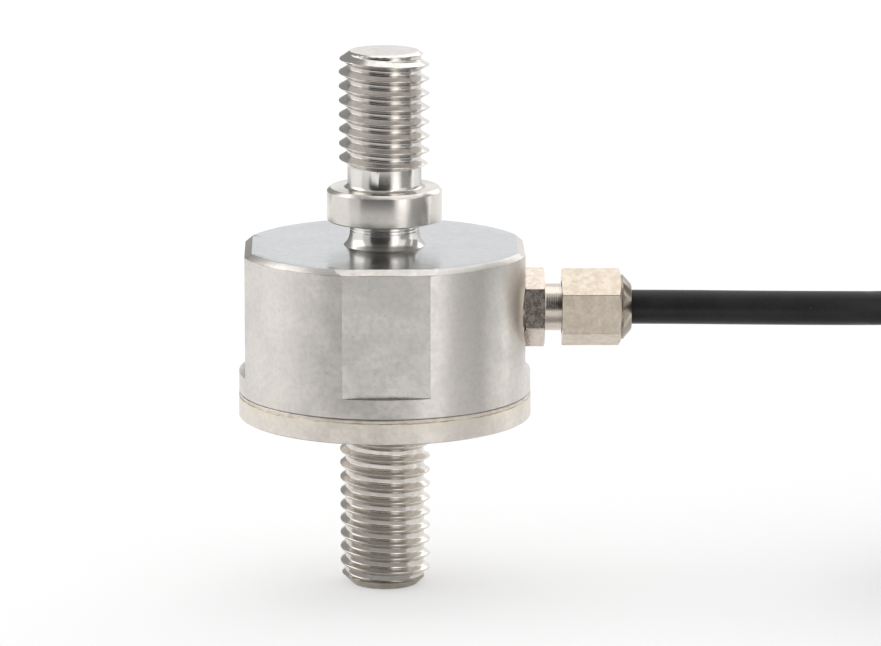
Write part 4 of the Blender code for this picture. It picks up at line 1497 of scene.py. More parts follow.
@dataclass(frozen=True)
class Gland:
    """The cable gland: its body against the spotface, and the nut that grips the cable."""

    across: float = 6.0
    face: float = 12.15
    spigot: float = 1.9
    spigot_end: float = 9.9
    bore: float = 1.35
    hex_end: float = 13.9
    neck: float = 2.05
    neck_end: float = 16.55
    ridge_pitch: float = 0.2
    ridge_depth: float = 0.010
    nut_face: float = 15.4
    nut_bore: float = 2.3
    nut_bore_end: float = 20.05
    nut_hex_end: float = 20.55
    nose_end: float = 21.5
    nose_base: float = 2.86
    nose_tip: float = 2.02
    nose_rounding: float = 0.12
    # Between hexagon and nose: out from the nose's base, along from its foot, and rounding.
    lip: tuple[Corner, ...] = (
        Corner(0.12, 0.03),
        Corner(-0.04, 0.06, 0.02),
        Corner(-0.04, 0.16, 0.02),
        Corner(0.0, 0.2, 0.04),
    )
    lip_drop: float = 0.06
    cable_hole: float = 1.62
    mouth: float = 0.1
    mouth_depth: float = 0.15
    corner_chamfer: float = 0.26
    nut_foot: float = 0.1
    # How far a hexagon's end chamfer goes out for one along.
    chamfer_run: float = 3.0
    # How far the body's chamfers are drawn out past its corners, as a share of its width.
    body_reach: float = 0.7
    edge: float = 0.07
    sleeve_steps: int = 96
    body_turn: float = math.radians(-7.8)
    nut_turn: float = math.radians(1.8)

    def hexagon(self, name: str, start: float, end: float) -> Piece:
        """A hexagon bar on Z with its long edges rounded.

        Args:
            name: the new object's name.
            start: distance of its near end along the gland's axis, in millimetres.
            end: distance of its far end.

        Returns:
            The new solid, with a corner towards +X.
        """
        bpy.ops.object.select_all(action="DESELECT")
        bpy.ops.mesh.primitive_cylinder_add(
            vertices=6,
            radius=self.across / math.sqrt(3) * MM,
            depth=(end - start) * MM,
            location=(0.0, 0.0, (start + end) / 2 * MM),
            rotation=(0.0, 0.0, math.pi / 6),
        )
        piece = bpy.context.object
        piece.name = name
        settle(piece)

        def is_long(edge: bmesh.types.BMEdge) -> bool:
            """Tell the edges that lie along the bar."""
            return abs(edge.verts[0].co.z - edge.verts[1].co.z) > MM / 2

        with editing(piece):
            pick(piece, Kind.EDGE, is_long)
            bpy.ops.mesh.bevel(offset=self.edge * MM, segments=EDGE_STEPS, affect="EDGES")
        return piece

    def make_body(self) -> None:
        """Shape the gland body: spigot, hexagon and the ridged neck."""
        wide = self.across * self.body_reach
        corner = self.across / math.sqrt(3) - self.corner_chamfer
        slope = (wide - corner) / self.chamfer_run
        outline = [
            Corner(self.bore, self.spigot_end),
            Corner(self.spigot, self.spigot_end),
            Corner(self.spigot, self.face),
            Corner(corner, self.face),
            Corner(wide, self.face + slope),
            Corner(wide, self.hex_end - slope),
            Corner(corner, self.hex_end),
            Corner(self.neck, self.hex_end, 0.06),
        ]
        ridges = round((self.nut_face - self.hex_end) / self.ridge_pitch)
        for number in range(ridges):
            foot = self.hex_end + (number + 0.5) * self.ridge_pitch
            outline += [
                Corner(self.neck, foot),
                Corner(self.neck - self.ridge_depth, foot + self.ridge_pitch * 0.35),
                Corner(self.neck, foot + self.ridge_pitch * 0.7),
            ]
        outline += [Corner(self.neck, self.neck_end), Corner(self.bore, self.neck_end)]
        piece = self.hexagon("hex_gland_body", self.spigot_end - SPARE, self.neck_end + SPARE)
        sleeve = turned("gland_sleeve", outline, ring=True, steps=self.sleeve_steps)
        combine(piece, sleeve, Join.KEEP)
        lay_along_gland(piece, self.body_turn)
        self.finish(piece, "gland_body", NICKEL_BODY)

    def make_nut(self) -> None:
        """Shape the nut: chamfered hexagon, lip, conical nose and bore."""
        wide = self.across
        corner = self.across / math.sqrt(3) - self.corner_chamfer
        slope = (wide - corner) / self.chamfer_run
        foot = self.nut_hex_end - self.lip_drop
        outline = [
            Corner(self.nut_bore, self.nut_face),
            Corner(corner + self.nut_foot, self.nut_face),
            Corner(wide, self.nut_face + slope - self.nut_foot / self.chamfer_run),
            Corner(wide, foot - slope - self.lip_drop),
            *[Corner(self.nose_base + out, foot + up, rounding) for out, up, rounding in self.lip],
            Corner(self.nose_tip, self.nose_end - self.nose_rounding / 2, self.nose_rounding),
            Corner(self.cable_hole + self.mouth, self.nose_end, self.nose_rounding / 2),
            Corner(self.cable_hole, self.nose_end - self.mouth_depth),
            Corner(self.cable_hole, self.nut_hex_end),
            Corner(self.nut_bore, self.nut_bore_end),
        ]
        piece = self.hexagon("hex_gland_nut", self.nut_face - SPARE, self.nose_end + SPARE)
        sleeve = turned("nut_sleeve", outline, ring=True, steps=self.sleeve_steps)
        combine(piece, sleeve, Join.KEEP)
        lay_along_gland(piece, self.nut_turn)
        self.finish(piece, "gland_nut", NICKEL_HEX)

    def finish(self, piece: Piece, node: str, hexagon: Metal) -> None:
        """Shade and dress a gland piece, its flats mottled, its turned faces bright and its nose in
        painted shade.

        Args:
            piece: the gland body or nut.
            node: the solid that it stands for.
            hexagon: the finish of its flats.
        """
        with editing(piece):
            make_whole()
        smooth_faces(piece)
        flats_out = self.across / 2 - 5 * HAIR

        def region(spot: Vector, facing: Vector) -> Metal:
            """Tell the hexagon's faces from the turned ones and the nose's."""
            # The nose wears the darkened copy of the nickel: painted shade.
            if spot.x > self.nut_hex_end:
                return SHADED_NICKEL_NOSE
            in_flat = math.hypot(spot.y, spot.z - GLAND_AXIS) > flats_out
            return hexagon if in_flat and abs(facing.x) < 0.5 else NICKEL_TURNED

        dress(piece, (hexagon, NICKEL_TURNED, SHADED_NICKEL_NOSE), region)
        deliver(piece, "nickel", node)

    def make(self) -> None:
        """Make both pieces of the gland."""
        self.make_body()
        self.make_nut()


@dataclass(frozen=True)
class Cable:
    """The free cable: level out of the gland, then wound into a hank with two columns."""

    radius: float = 1.5
    length: float = 2.0
    exit: tuple[float, float, float] = (Gland.nose_end, 0.0, GLAND_AXIS)
    route: tuple[tuple[float, float, float], ...] = (
        (26.0, 0.0, 24.57),
        (32.0, 0.0, 24.5),
        (38.0, 0.0, 24.45),
        (44.0, 0.2, 24.4),
        (50.0, 1.6, 24.3),
        (55.0, 4.0, 24.0),
        (60.0, 7.2, 23.4),
        (65.0, 10.2, 22.95),
        (70.0, 11.7, 22.85),
    )
    tail: tuple[tuple[float, float, float], ...] = (
        (75.5, -12.0, 23.0),
        (72.0, -11.95, 22.95),
        (68.5, -11.7, 22.95),
        (65.0, -11.3, 22.95),
    )
    hank_start: float = 46.5
    hank_length: float = 65.0
    hank_width: float = 27.0
    layers: int = 7
    tie_width: float = 3.6
    tie_thickness: float = 0.5
    tie_gap: float = 0.25
    # Stretch of a run in which it steps down to the next layer, as shares of its length.
    step_down: tuple[float, float] = (0.6, 1.0)
    # How far the tail's first bend lies inside the hank's side and below the tail's height.
    tail_inset: float = 0.6
    tail_drop: float = 0.5
    spacing: float = 3.0
    sides: int = 20

    @property
    def pitch(self) -> float:
        """Distance between neighbouring turns, in millimetres."""
        return 2 * self.radius

    @property
    def near(self) -> float:
        """Where the straight runs start, by the near end's arcs."""
        return self.hank_start + self.hank_width / 2

    @property
    def far(self) -> float:
        """Where the straight runs end, by the far end's arcs."""
        return self.hank_start + self.hank_length - self.hank_width / 2

    @property
    def waist(self) -> float:
        """Where the tie sits."""
        return self.hank_start + self.hank_length / 2

    def layer(self, number: float) -> float:
        """Height of a layer's centreline, counted from the lowest, in millimetres."""
        return self.radius + self.pitch * number

    def run(self, start: Vector, end: Vector, rise: tuple[float, float] = (0.0, 1.0)) -> list[Vector]:
        """A straight run that changes its side and height only along a stretch.

        Args:
            start: where it starts.
            end: where it ends.
            rise: the stretch, as shares of the run.

        Returns:
            Its points, without the last.
        """
        count = max(4, round((end - start).length / self.spacing))
        points = []
        for i in range(count):
            share = i / count
            ease = eased((share - rise[0]) / (rise[1] - rise[0]))
            points.append(Vector((
                start.x + (end.x - start.x) * share,
                start.y + (end.y - start.y) * ease,
                start.z + (end.z - start.z) * ease,
            )))
        return points

    def bend(self, end: int, start: tuple[float, float], stop: tuple[float, float]) -> list[Vector]:
        """Half a turn round one end of the hank.

        Args:
            end: 1 at the far end, from +Y to -Y, or -1 at the near end, back to +Y.
            start: radius and height where it starts.
            stop: radius and height where it ends.

        Returns:
            Its points, without the last.
        """
        middle_x = self.far if end > 0 else self.near
        count = round(math.pi * start[0] / self.spacing)
        points = []
        for i in range(count):
            share = i / count
            ease = eased(share)
            radius = start[0] + (stop[0] - start[0]) * ease
            turn = math.pi * (0.5 - share)
            points.append(Vector((
                middle_x + end * radius * math.cos(turn),
                end * radius * math.sin(turn),
                start[1] + (stop[1] - start[1]) * ease,
            )))
        return points

    def over_tie(self, point: Vector) -> Vector:
        """Lift a point of the hank where it passes over the tie's lower strap.

        Args:
            point: a point of the route.

        Returns:
            The point, lifted near the waist and less so in the higher layers.
        """
        reach = abs(point.x - self.waist) - self.tie_width / 2
        nearness = eased(1 - reach / (3 * self.radius))
        top = self.layer(self.layers - 1)
        depth = max(0.0, (top - point.z) / (top - self.layer(0)))
        lift = (self.tie_thickness + self.tie_gap) * depth
        return Vector((point.x, point.y, point.z + nearness * lift))

    def path(self) -> list[Vector]:
        """The centreline of the whole cable.

        Returns:
            Its points in millimetres, from the gland to the shrink sleeve.
        """
        top = self.layer(self.layers - 1)
        outer = self.hank_width / 2 - self.radius
        inner = outer - self.pitch
        near, far = self.near, self.far
        lead = [Vector(self.exit), *[Vector(point) for point in self.route]]
        above_tie = self.layer(self.layers) + self.tie_thickness + self.tie_gap
        # Given points: over the tie's strap, then down into the top layer.
        lead += [
            Vector((self.waist - 4.0, outer, above_tie - 0.1)),
            Vector((self.waist, outer, above_tie)),
            Vector((self.waist + 4.0, outer, above_tie - 0.3)),
            Vector((far - 8.5, outer, top + 1.9)),
            Vector((far - 3.5, outer, top + 0.25)),
            Vector((far, outer, top)),
        ]
        points = smooth_through(lead, self.spacing)[:-1]
        for number in reversed(range(self.layers)):
            height = self.layer(number)
            points += self.bend(1, (outer, height), (outer, height))
            points += self.run(Vector((far, -outer, height)), Vector((near, -outer, height)))
            if number:
                points += self.bend(-1, (outer, height), (outer, height))
                below = self.layer(number - 1)
                start, end = Vector((near, outer, height)), Vector((far, outer, below))
                points += self.run(start, end, self.step_down)
        points += self.bend(-1, (outer, self.layer(0)), (inner, self.layer(0)))
        for number in range(self.layers):
            height = self.layer(number)
            points += self.run(Vector((near, inner, height)), Vector((far, inner, height)))
            if number < self.layers - 1:
                above = self.layer(number + 1)
                points += self.bend(1, (inner, height), (inner, height))
                points += self.run(Vector((far, -inner, height)), Vector((near, -inner, height)))
                points += self.bend(-1, (inner, height), (inner, above))
        points = [self.over_tie(point) for point in points]
        rest = self.tail[0][2]
        tail_side, tail_foot = outer - self.tail_inset, rest - self.tail_drop
        last_bend = self.bend(1, (inner, top), (tail_side, tail_foot))
        points += [self.over_tie(point) for point in last_bend]
        # Given points: over the strap and on to the shrink sleeve.
        tail = [
            Vector((far, -tail_side, tail_foot)),
            Vector((self.waist + 9.0, -outer, rest - 0.4)),
            Vector((self.waist + 4.0, -outer, above_tie - 0.1)),
            Vector((self.waist, -outer, above_tie)),
            *[Vector(point) for point in self.tail],
        ]
        return points + smooth_through(tail, self.spacing)

    def make(self, *on_it: Piece) -> None:
        """Args:
            on_it: the separate pieces on it; not used.
        """
        points = self.path()
        line = bpy.data.curves.new("jacketed_cable", "CURVE")
        line.dimensions = "3D"
        line.bevel_depth = self.radius * MM
        line.bevel_resolution = self.sides // 2 - 2
        line.use_fill_caps = True
        spline = line.splines.new("POLY")
        spline.points.add(len(points) - 1)
        for knot, point in zip(spline.points, points):
            knot.co = (*(point * MM), 1.0)
        spline.use_smooth = True
        piece = bpy.data.objects.new("jacketed_cable", line)
        bpy.context.scene.collection.objects.link(piece)
        line.materials.append(JACKET.material())
        deliver(piece, "cable_jacket", "cable_run", "cable_hank", "cable_tail")
        made = sum((b - a).length for a, b in zip(points, points[1:]))
        LOG.info("cable laid %.0f mm long in %d points", made, len(points))


def eased(share: float) -> float:
    """Keep a share from 0 to 1 and ease it in and out.

    Args:
        share: the share.

    Returns:
        The eased share, level at both ends.
    """
    share = min(1.0, max(0.0, share))
    return share * share * (3 - 2 * share)


def smooth_through(knots: Sequence[Vector], spacing: float) -> list[Vector]:
    """Points at an even spacing on a Catmull-Rom curve through the knots.

    Args:
        knots: the points that the curve passes.
        spacing: the distance between the new points.

    Returns:
        The new points, both ends included.
    """
    padded = [2 * knots[0] - knots[1], *knots, 2 * knots[-1] - knots[-2]]
    fine = []
    for a, b, c, d in zip(padded, padded[1:], padded[2:], padded[3:]):
        for i in range(KNOT_STEPS):
            t = i / KNOT_STEPS
            fine.append(
                0.5 * (2 * b + (c - a) * t + (2 * a - 5 * b + 4 * c - d) * t**2
                       + (3 * b - a - 3 * c + d) * t**3)
            )
    fine.append(knots[-1])
    lengths = [0.0]
    for a, b in zip(fine, fine[1:]):
        lengths.append(lengths[-1] + (b - a).length)
    count = max(2, round(lengths[-1] / spacing) + 1)
    even, at = [], 0
    for i in range(count):
        goal = lengths[-1] * i / (count - 1)
        while at < len(lengths) - 2 and lengths[at + 1] < goal:
            at += 1
        share = (goal - lengths[at]) / (lengths[at + 1] - lengths[at])
        even.append(fine[at].lerp(fine[at + 1], share))
    return even


@dataclass(frozen=True)
class CableTie:
    """The nylon strap round the hank's waist, with its lock and trimmed end."""

    waist: float = Cable().waist
    width: float = Cable.tie_width
    thickness: float = Cable.tie_thickness
    inner_half: float = Cable.hank_width / 2 + Cable.tie_gap
    top: float = Cable.layers * 2 * Cable.radius + Cable.tie_gap
    corner: float = 1.3
    lock_length: float = 5.2
    lock_width: float = 5.0
    lock_height: float = 3.0
    lock_at: float = -4.0
    lock_rounding: float = 0.5
    end_at: float = -3.1
    end_length: float = 4.5
    end_rounding: float = 0.1

    def strap(self) -> Piece:
        """The strap as a rounded frame.

        Returns:
            The new solid.
        """
        thick = self.thickness
        outer = self.frame(
            "tie_strap", self.inner_half + thick, 0.0, self.top + thick, self.corner + thick
        )
        hole = self.frame("tie_hole", self.inner_half, thick, self.top, self.corner)
        hole.scale.x = 2.0
        settle(hole)
        combine(outer, hole, Join.CUT)
        return outer

    def frame(self, name: str, half: float, low: float, high: float, corner: float) -> Piece:
        """A block with rounded corners, as wide as the strap.

        Args:
            name: the new object's name.
            half: half its width along Y, in millimetres.
            low: height of its underside.
            high: height of its top.
            corner: rounding of its four corners.

        Returns:
            The new solid, centred on X.
        """
        piece = prism(name, [
            Corner(0.0, low),
            Corner(half, low, corner),
            Corner(half, high, corner),
            Corner(-half, high, corner),
            Corner(-half, low, corner),
            Corner(0.0, low),
        ], self.width)
        with editing(piece):
            make_whole()
        piece.rotation_euler.z = math.pi / 2
        settle(piece)
        return piece

    def make(self) -> Piece:
        """Shape and dress the tie.

        Returns:
            The finished piece.
        """
        strap = self.strap()
        take(strap)
        strap.location.x = self.waist * MM
        settle(strap)
        seat = self.top + self.thickness / 2
        lock_size = (self.lock_width, self.lock_length, self.lock_height)
        lock_centre = (self.waist, self.lock_at, seat + self.lock_height / 2)
        lock = self.box("tie_lock", lock_size, lock_centre, self.lock_rounding)
        combine(strap, lock, Join.ADD)
        end_size = (self.width, self.thickness, self.lock_height / 2 + self.end_length)
        end_top = seat + self.lock_height + self.end_length
        end_centre = (self.waist, self.end_at, end_top - end_size[2] / 2)
        end = self.box("tie_end", end_size, end_centre, self.end_rounding)
        combine(strap, end, Join.ADD)
        with editing(strap):
            make_whole()
        smooth_faces(strap)
        dress(strap, (TIE_NYLON,))
        deliver(strap, "tie_nylon", "cable_tie")
        return strap

    def box(
        self,
        name: str,
        size: tuple[float, float, float],
        centre: tuple[float, float, float],
        rounding: float,
    ) -> Piece:
        """A block with rounded edges.

        Args:
            name: the new object's name.
            size: its size in millimetres.
            centre: its centre.
            rounding: the rounding of its edges.

        Returns:
            The new solid.
        """
        bpy.ops.object.select_all(action="DESELECT")
        bpy.ops.mesh.primitive_cube_add(size=1.0, location=Vector(centre) * MM)
        piece = bpy.context.object
        piece.name = name
        piece.scale = Vector(size) * MM
        settle(piece)
        with editing(piece):
            bpy.ops.mesh.select_mode(type=Kind.EDGE.value)
            bpy.ops.mesh.select_all(action="SELECT")
            bpy.ops.mesh.bevel(offset=rounding * MM, segments=EDGE_STEPS, affect="EDGES")
        return piece


@dataclass(frozen=True)
class CableEnd:
    """The cable's bare end: a shrink sleeve and four tinned leads that fan out."""

    start: tuple[float, float, float] = Cable.tail[-1]
    before: tuple[float, float, float] = Cable.tail[-2]
    gap: float = 0.25
    sleeve_radius: float = 1.72
    sleeve_length: float = 5.0
    sleeve_tip: float = 1.25
    lead_radius: float = 0.5
    lead_length: float = 7.0
    lead_spacing: float = 1.265
    tip_radius: float = 0.28
    tip_length: float = 2.4
    fan: float = math.radians(9.0)

    def heading(self) -> Vector:
        """Direction in which the cable ends."""
        return (Vector(self.start) - Vector(self.before)).normalized()

    def set_at(self, piece: Piece, spot: Vector, way: Vector) -> None:
        """Set a piece that was turned on Z with its foot at a spot, pointing a way.

        Args:
            piece: the object that is placed.
            spot: where its foot goes, in millimetres.
            way: the direction that its axis takes.
        """
        turn = way.to_track_quat("Z", "Y").to_matrix().to_4x4()
        piece.matrix_world = Matrix.Translation(spot * MM) @ turn
        settle(piece)

    def make_sleeve(self) -> Piece:
        """The shrink sleeve, drawn in where it grips the leads.

        Returns:
            The finished piece.
        """
        length, radius = self.sleeve_length, self.sleeve_radius
        sleeve = turned("shrunk_sleeve", [
            Corner(0.0, -0.2),
            Corner(radius - 0.12, -0.2, 0.08),
            Corner(radius, 0.1, 0.3),
            Corner(radius, length * 0.55, 2.0),
            Corner(self.sleeve_tip + 0.15, length * 0.82, 1.0),
            Corner(self.sleeve_tip, length, 0.1),
            Corner(0.0, length),
        ], steps=32)
        self.set_at(sleeve, Vector(self.start) + self.gap * self.heading(), self.heading())
        smooth_faces(sleeve, sharp_degrees=50.0)
        dress(sleeve, (SHRINK,))
        deliver(sleeve, "heat_shrink", "cable_end_sleeve")
        return sleeve

    def model_lead(self) -> Piece:
        """One insulated lead with its tinned strands bared, upright on Z.

        Returns:
            The lead that the four are copied from.
        """
        shoulder = self.lead_length - self.tip_length
        lead = turned("lead_pattern", [
            Corner(0.0, 0.0),
            Corner(self.lead_radius, 0.0),
            Corner(self.lead_radius, shoulder, 0.06),
            Corner(self.tip_radius, shoulder),
            Corner(self.tip_radius * 1.05, shoulder + self.tip_length * 0.5, 0.5),
            Corner(self.tip_radius * 0.9, self.lead_length, 0.12),
            Corner(0.0, self.lead_length),
        ], steps=24)
        smooth_faces(lead, sharp_degrees=50.0)
        insulation = next(iter(CORE_INSULATION.values()))

        def region(spot: Vector, facing: Vector) -> Finish:
            """Tell the bared strands from the insulation."""
            return TINNED_STRANDS if spot.z > shoulder else insulation

        dress(lead, (insulation, TINNED_STRANDS), region)
        return lead

    def place_lead(self, pattern: Piece, number: int, colour: str) -> Piece:
        """Copy the lead to its place in the fan and give it its own colour.

        Args:
            pattern: the lead that is copied.
            number: its place in the fan.
            colour: its insulation.

        Returns:
            The finished piece.
        """
        place = number - (len(CORE_INSULATION) - 1) / 2
        side = Vector((0.0, 0.0, 1.0)).cross(self.heading()).normalized()
        root = Vector(self.start) + (2 * self.gap + self.sleeve_length) * self.heading()
        foot = root + place * self.lead_spacing * side
        way = Matrix.Rotation(place * self.fan, 3, "Z") @ self.heading()
        lead = copied(pattern, f"tinned_lead_{colour}")
        self.set_at(lead, foot, way)
        lead.data.materials[0] = CORE_INSULATION[colour].material()
        deliver(lead, f"core_{colour}", f"lead_{colour}")
        return lead

    def make(self) -> list[Piece]:
        """Make the sleeve and the leads.

        Returns:
            The finished pieces.
        """
        pieces = [self.make_sleeve()]
        pattern = self.model_lead()
        for number, colour in enumerate(CORE_INSULATION):
            pieces.append(self.place_lead(pattern, number, colour))
        bpy.data.objects.remove(pattern, do_unlink=True)
        return pieces


class InnerParts:
    """The solids inside the body and gland, which keep their shape and get a finish."""

    FINISHES = {
        "gland_seal": SEAL_RUBBER,
        "port_seal": SEAL_RUBBER,
        "thrust_ring": BRASS_RING,
        "cable_entry": JACKET,
        "cable_braid": TINNED_STRANDS,
        "drain_wire": TINNED_STRANDS,
        "bridge_board": LAMINATE,
        "resistor": RESISTOR,
        "strain_gauge": GAUGE_FILM,
        "gauge_wire": ENAMEL,
        **{f"core_{colour}": finish for colour, finish in CORE_INSULATION.items()},
    }

    def dress(self) -> None:
        """Give each solid that still shows its finish."""
        for name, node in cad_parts.items():
            if node.hide_render:
                continue
            finish = next(finish for word, finish in self.FINISHES.items() if word in name)
            for slot in node.material_slots:
                slot.material = finish.material()
            LOG.info("%s wears %s", name, finish.name)


# The studio: camera, floor, light and the dark cards that the metal mirrors


@dataclass(frozen=True)
class Softbox:
    """A large soft lamp that faces the part, placed by azimuth and elevation in degrees."""

    name: str
    azimuth: float
    elevation: float
    distance: float
    width: float
    height: float
    power: float

    def make(self, aim: Vector) -> None:
        """Hang the lamp.

        Args:
            aim: the point that it faces, in metres.
        """
        lamp = bpy.data.lights.new(self.name, "AREA")
        lamp.shape = "RECTANGLE"
        lamp.size = self.width
        lamp.size_y = self.height
        lamp.energy = self.power
        holder = bpy.data.objects.new(self.name, lamp)
        bpy.context.scene.collection.objects.link(holder)
        around, up = math.radians(self.azimuth), math.radians(self.elevation)
        way = Vector((math.sin(around) * math.cos(up), -math.cos(around) * math.cos(up), math.sin(up)))
        holder.location = aim + self.distance * way
        holder.rotation_euler = way.to_track_quat("Z", "Y").to_euler()
        holder.visible_camera = False


@dataclass(frozen=True)
class Card:
    """A grey card that stands round the part and shows only in its reflections.

    Its azimuths are in degrees from the camera's side, its other sizes in metres. It goes
    from foot_level to level within fade of its foot.
    """

    name: str
    first: float
    last: float
    distance: float
    low: float
    high: float
    level: float
    foot_level: float
    fade: float = 0.035
    steps: int = 24

    def make(self) -> None:
        """Set the card up as a bent sheet round the load axis, graded from its foot up."""
        foot = Vector((self.distance, 0.0, self.low))
        top = Vector((self.distance, 0.0, self.high))
        self.grade(self.swept(foot, top), self.low, self.low + self.fade)

    def swept(self, start: Vector, end: Vector) -> Piece:
        """Sweep a straight line round the load axis, from the first azimuth to the last.

        Args:
            start: one end of the line, in the XZ plane, in metres.
            end: its other end.

        Returns:
            The new sheet.
        """
        # Spin turns from the last azimuth back to the first.
        card = drawn(self.name, [start, end])
        card.rotation_euler.z = math.radians(self.last - 90)
        settle(card)
        with editing(card):
            sweep = math.radians(self.last - self.first)
            bpy.ops.mesh.spin(steps=self.steps, angle=sweep, center=(0, 0, 0), axis=(0, 0, 1))
        return card

    def grade(self, card: Piece, start: float, end: float) -> None:
        """Let a card glow from its foot level to its level, and show only in reflections.

        Args:
            card: the card.
            start: height or radius at which it leaves its foot level, in metres.
            end: height or radius at which it reaches its level.
        """
        made = bpy.data.materials.new(self.name)
        made.use_nodes = True
        tree = Tree(made.node_tree)
        made.node_tree.nodes.clear()
        glow = tree.node("Emission")
        graded = tree.ramp(self.distance_along(tree), start, end, self.foot_level, self.level)
        tree.feed(glow.inputs["Strength"], graded)
        tree.feed(tree.node("OutputMaterial").inputs["Surface"], glow.outputs[0])
        card.data.materials.append(made)
        card.visible_camera = False
        card.visible_diffuse = False
        card.visible_shadow = False
        card.visible_transmission = False

    def distance_along(self, tree: Tree) -> Socket:
        """Measure the height on the card, in metres."""
        return tree.parts(tree.node("TexCoord").outputs["Object"])["Z"]


@dataclass(frozen=True)
class GroundCard(Card):
    """A card on the floor before the part, which goes from foot_level to level at its outer edge.

    Its low is its height over the floor, its high its inner radius and its distance its outer
    radius. Its dark inner part is a painted shadow of the part on the floor, which shows only in
    reflections.
    """

    def make(self) -> None:
        """Lay the card just clear of the floor."""
        inner = Vector((self.high, 0.0, self.low))
        outer = Vector((self.distance, 0.0, self.low))
        self.grade(self.swept(inner, outer), self.distance - self.fade, self.distance)

    def distance_along(self, tree: Tree) -> Socket:
        """Measure the distance from the load axis, in metres."""
        return tree.length(tree.node("TexCoord").outputs["Object"])


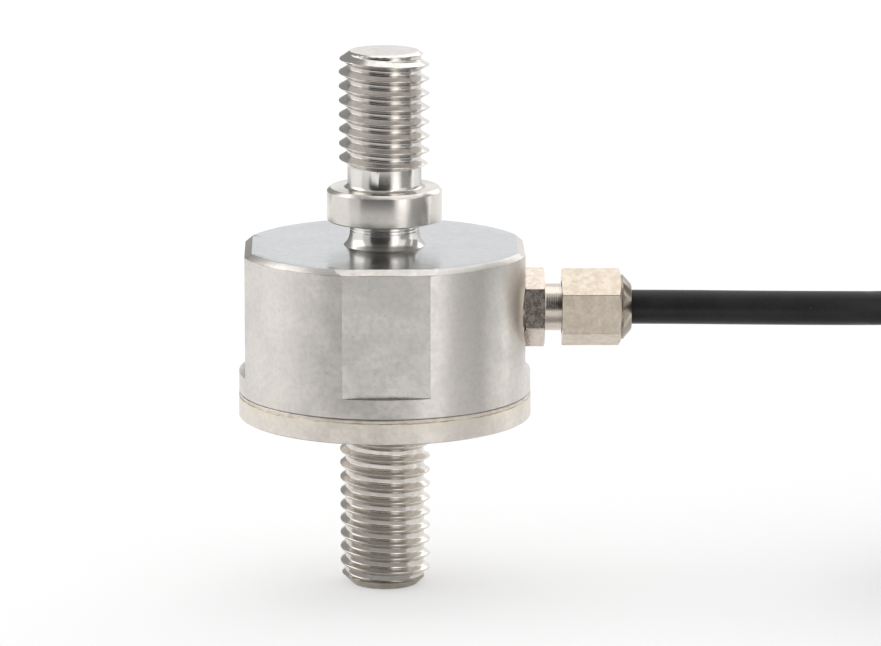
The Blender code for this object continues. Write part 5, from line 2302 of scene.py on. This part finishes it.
@dataclass(frozen=True)
class Studio:
    """The pale floor, the white room, the lamps and the camera of the photograph."""

    picture_width: int = 881
    focal_pixels: float = 5274.9
    sensor: float = 36.0
    nearest: float = 0.01
    farthest: float = 100.0
    camera_spot: tuple[float, float, float] = (0.0, -0.45, 0.1168)
    camera_tilt: float = math.pi / 2 - 0.2051
    camera_roll: float = -0.0108
    floor_size: float = 12.0
    floor_colour: Colour = (0.93, 0.93, 0.93)
    floor_shade: float = 0.01
    floor_cloud_size: float = 60.0
    floor_glow: float = 0.45
    room_level: float = 0.86
    aim: tuple[float, float, float] = (0.0, 0.0, 0.025)
    lamps: tuple[Softbox, ...] = (
        Softbox("left_softbox", -95.0, 35.0, 0.7, 0.6, 0.6, 0.95),
        Softbox("top_softbox", 170.0, 75.0, 0.7, 0.6, 0.6, 0.68),
        Softbox("right_softbox", 140.0, 35.0, 0.7, 0.5, 0.5, 0.65),
    )
    # Name, azimuths, distance, foot, top, level, level at the foot, and height of the fade.
    cards: tuple[Card, ...] = (
        Card("camera_side_card", -48.0, 20.5, 0.165, 0.0, 0.16, 0.04, 0.85, 0.025),
        Card("camera_high_card", -48.0, 20.5, 0.165, 0.16, 0.28, 0.15, 0.15),
        Card("left_front_card", -74.0, -48.0, 0.165, 0.0, 0.35, 0.62, 0.9),
        Card("high_card", -110.0, 60.0, 0.20, 0.28, 0.80, 0.40, 0.40),
        Card("right_card", 45.4, 78.0, 0.10, 0.0, 0.0155, 0.05, 0.72, 0.009),
        Card("right_mid_card", 52.0, 88.0, 0.12, 0.0, 0.045, 0.34, 0.34),
        Card("bright_strip", 27.0, 44.4, 0.13, 0.0, 0.40, 1.85, 1.25, 0.05),
        Card("hank_card", 75.0, 127.0, 0.044, 0.0, 0.023, 0.9, 0.9),
        Card("glint_strip", 94.0, 99.0, 0.043, 0.0, 0.06, 1.5, 1.5),
        Card("right_high_card", 72.0, 128.0, 0.12, 0.045, 0.16, 0.35, 0.35),
        Card("left_back_card", -172.0, -128.0, 0.16, 0.016, 0.35, 0.35, 0.35),
        # Dark near the part: a painted shadow on the floor, seen only in reflections.
        GroundCard("floor_shadow_card", -110.0, 60.0, 0.052, 0.00002, 0.004, 0.9, 0.36, 0.03),
    )

    def set_camera(self) -> None:
        """Set up the camera at the photograph's view."""
        lens = bpy.data.cameras.new("camera")
        lens.sensor_width = self.sensor
        lens.lens = self.focal_pixels / self.picture_width * self.sensor
        lens.clip_start = self.nearest
        lens.clip_end = self.farthest
        camera = bpy.data.objects.new("camera", lens)
        bpy.context.scene.collection.objects.link(camera)
        camera.location = self.camera_spot
        camera.rotation_euler = (self.camera_tilt, 0.0, self.camera_roll)
        bpy.context.scene.camera = camera

    def seen(self, tree: Tree) -> Socket:
        """Tell what the camera sees, straight or in metal and glass, from what lights the part.

        Args:
            tree: the floor's or the room's tree.

        Returns:
            1 for camera, glossy and transmission rays, and else 0.
        """
        ray = tree.node("LightPath")
        glossy, through = ray.outputs["Is Glossy Ray"], ray.outputs["Is Transmission Ray"]
        mirrored = tree.math("MAXIMUM", glossy, through)
        return tree.math("MAXIMUM", ray.outputs["Is Camera Ray"], mirrored)

    def set_floor(self) -> None:
        """Lay the floor."""
        bpy.ops.object.select_all(action="DESELECT")
        bpy.ops.mesh.primitive_plane_add(size=self.floor_size)
        floor = bpy.context.object
        floor.name = "floor"
        made, tree, shader = new_material("pale_floor")
        tone = tree.apply(Clouding(), tree.place(), self.floor_cloud_size)["Mask"]
        shaded = tuple(value - self.floor_shade for value in self.floor_colour)
        tree.feed(shader.inputs["Base Color"], tree.mix(tone, self.floor_colour, shaded))
        shader.inputs["Roughness"].default_value = 1.0
        shader.inputs["Specular IOR Level"].default_value = 0.0
        glow = tree.node("Emission")
        blend = tree.node("MixShader")
        tree.feed(blend.inputs[0], tree.math("MULTIPLY", self.seen(tree), self.floor_glow))
        tree.feed(blend.inputs[1], shader.outputs[0])
        tree.feed(blend.inputs[2], glow.outputs[0])
        tree.feed(made.node_tree.nodes["Material Output"].inputs["Surface"], blend.outputs[0])
        floor.data.materials.append(made)

    def set_light(self) -> None:
        """Light the room: an even white room, soft lamps and the cards."""
        world = bpy.data.worlds.new("white_room")
        bpy.context.scene.world = world
        world.use_nodes = True
        tree = Tree(world.node_tree)
        background = world.node_tree.nodes["Background"]
        background.inputs["Color"].default_value = (1.0, 1.0, 1.0, 1.0)
        strength = tree.ramp(self.seen(tree), 0.0, 1.0, self.room_level, 1.0)
        tree.feed(background.inputs["Strength"], strength)
        for lamp in self.lamps:
            lamp.make(Vector(self.aim))
        for card in self.cards:
            card.make()

    def set_view(self) -> None:
        """Show colours as they are written."""
        bpy.context.scene.view_settings.view_transform = "Standard"


def main() -> None:
    """Set the camera, lay the cable, make every piece and light the studio."""
    logging.basicConfig(level=logging.INFO, format="%(name)s: %(message)s")
    studio = Studio()
    studio.set_camera()
    on_cable = [CableTie().make(), *CableEnd().make()]
    Cable().make(*on_cable)
    SensingBody().make()
    BasePlate().make()
    WeldSeam().make()
    Gland().make()
    InnerParts().dress()
    studio.set_floor()
    studio.set_light()
    studio.set_view()


if __name__ == "__main__":
    main()
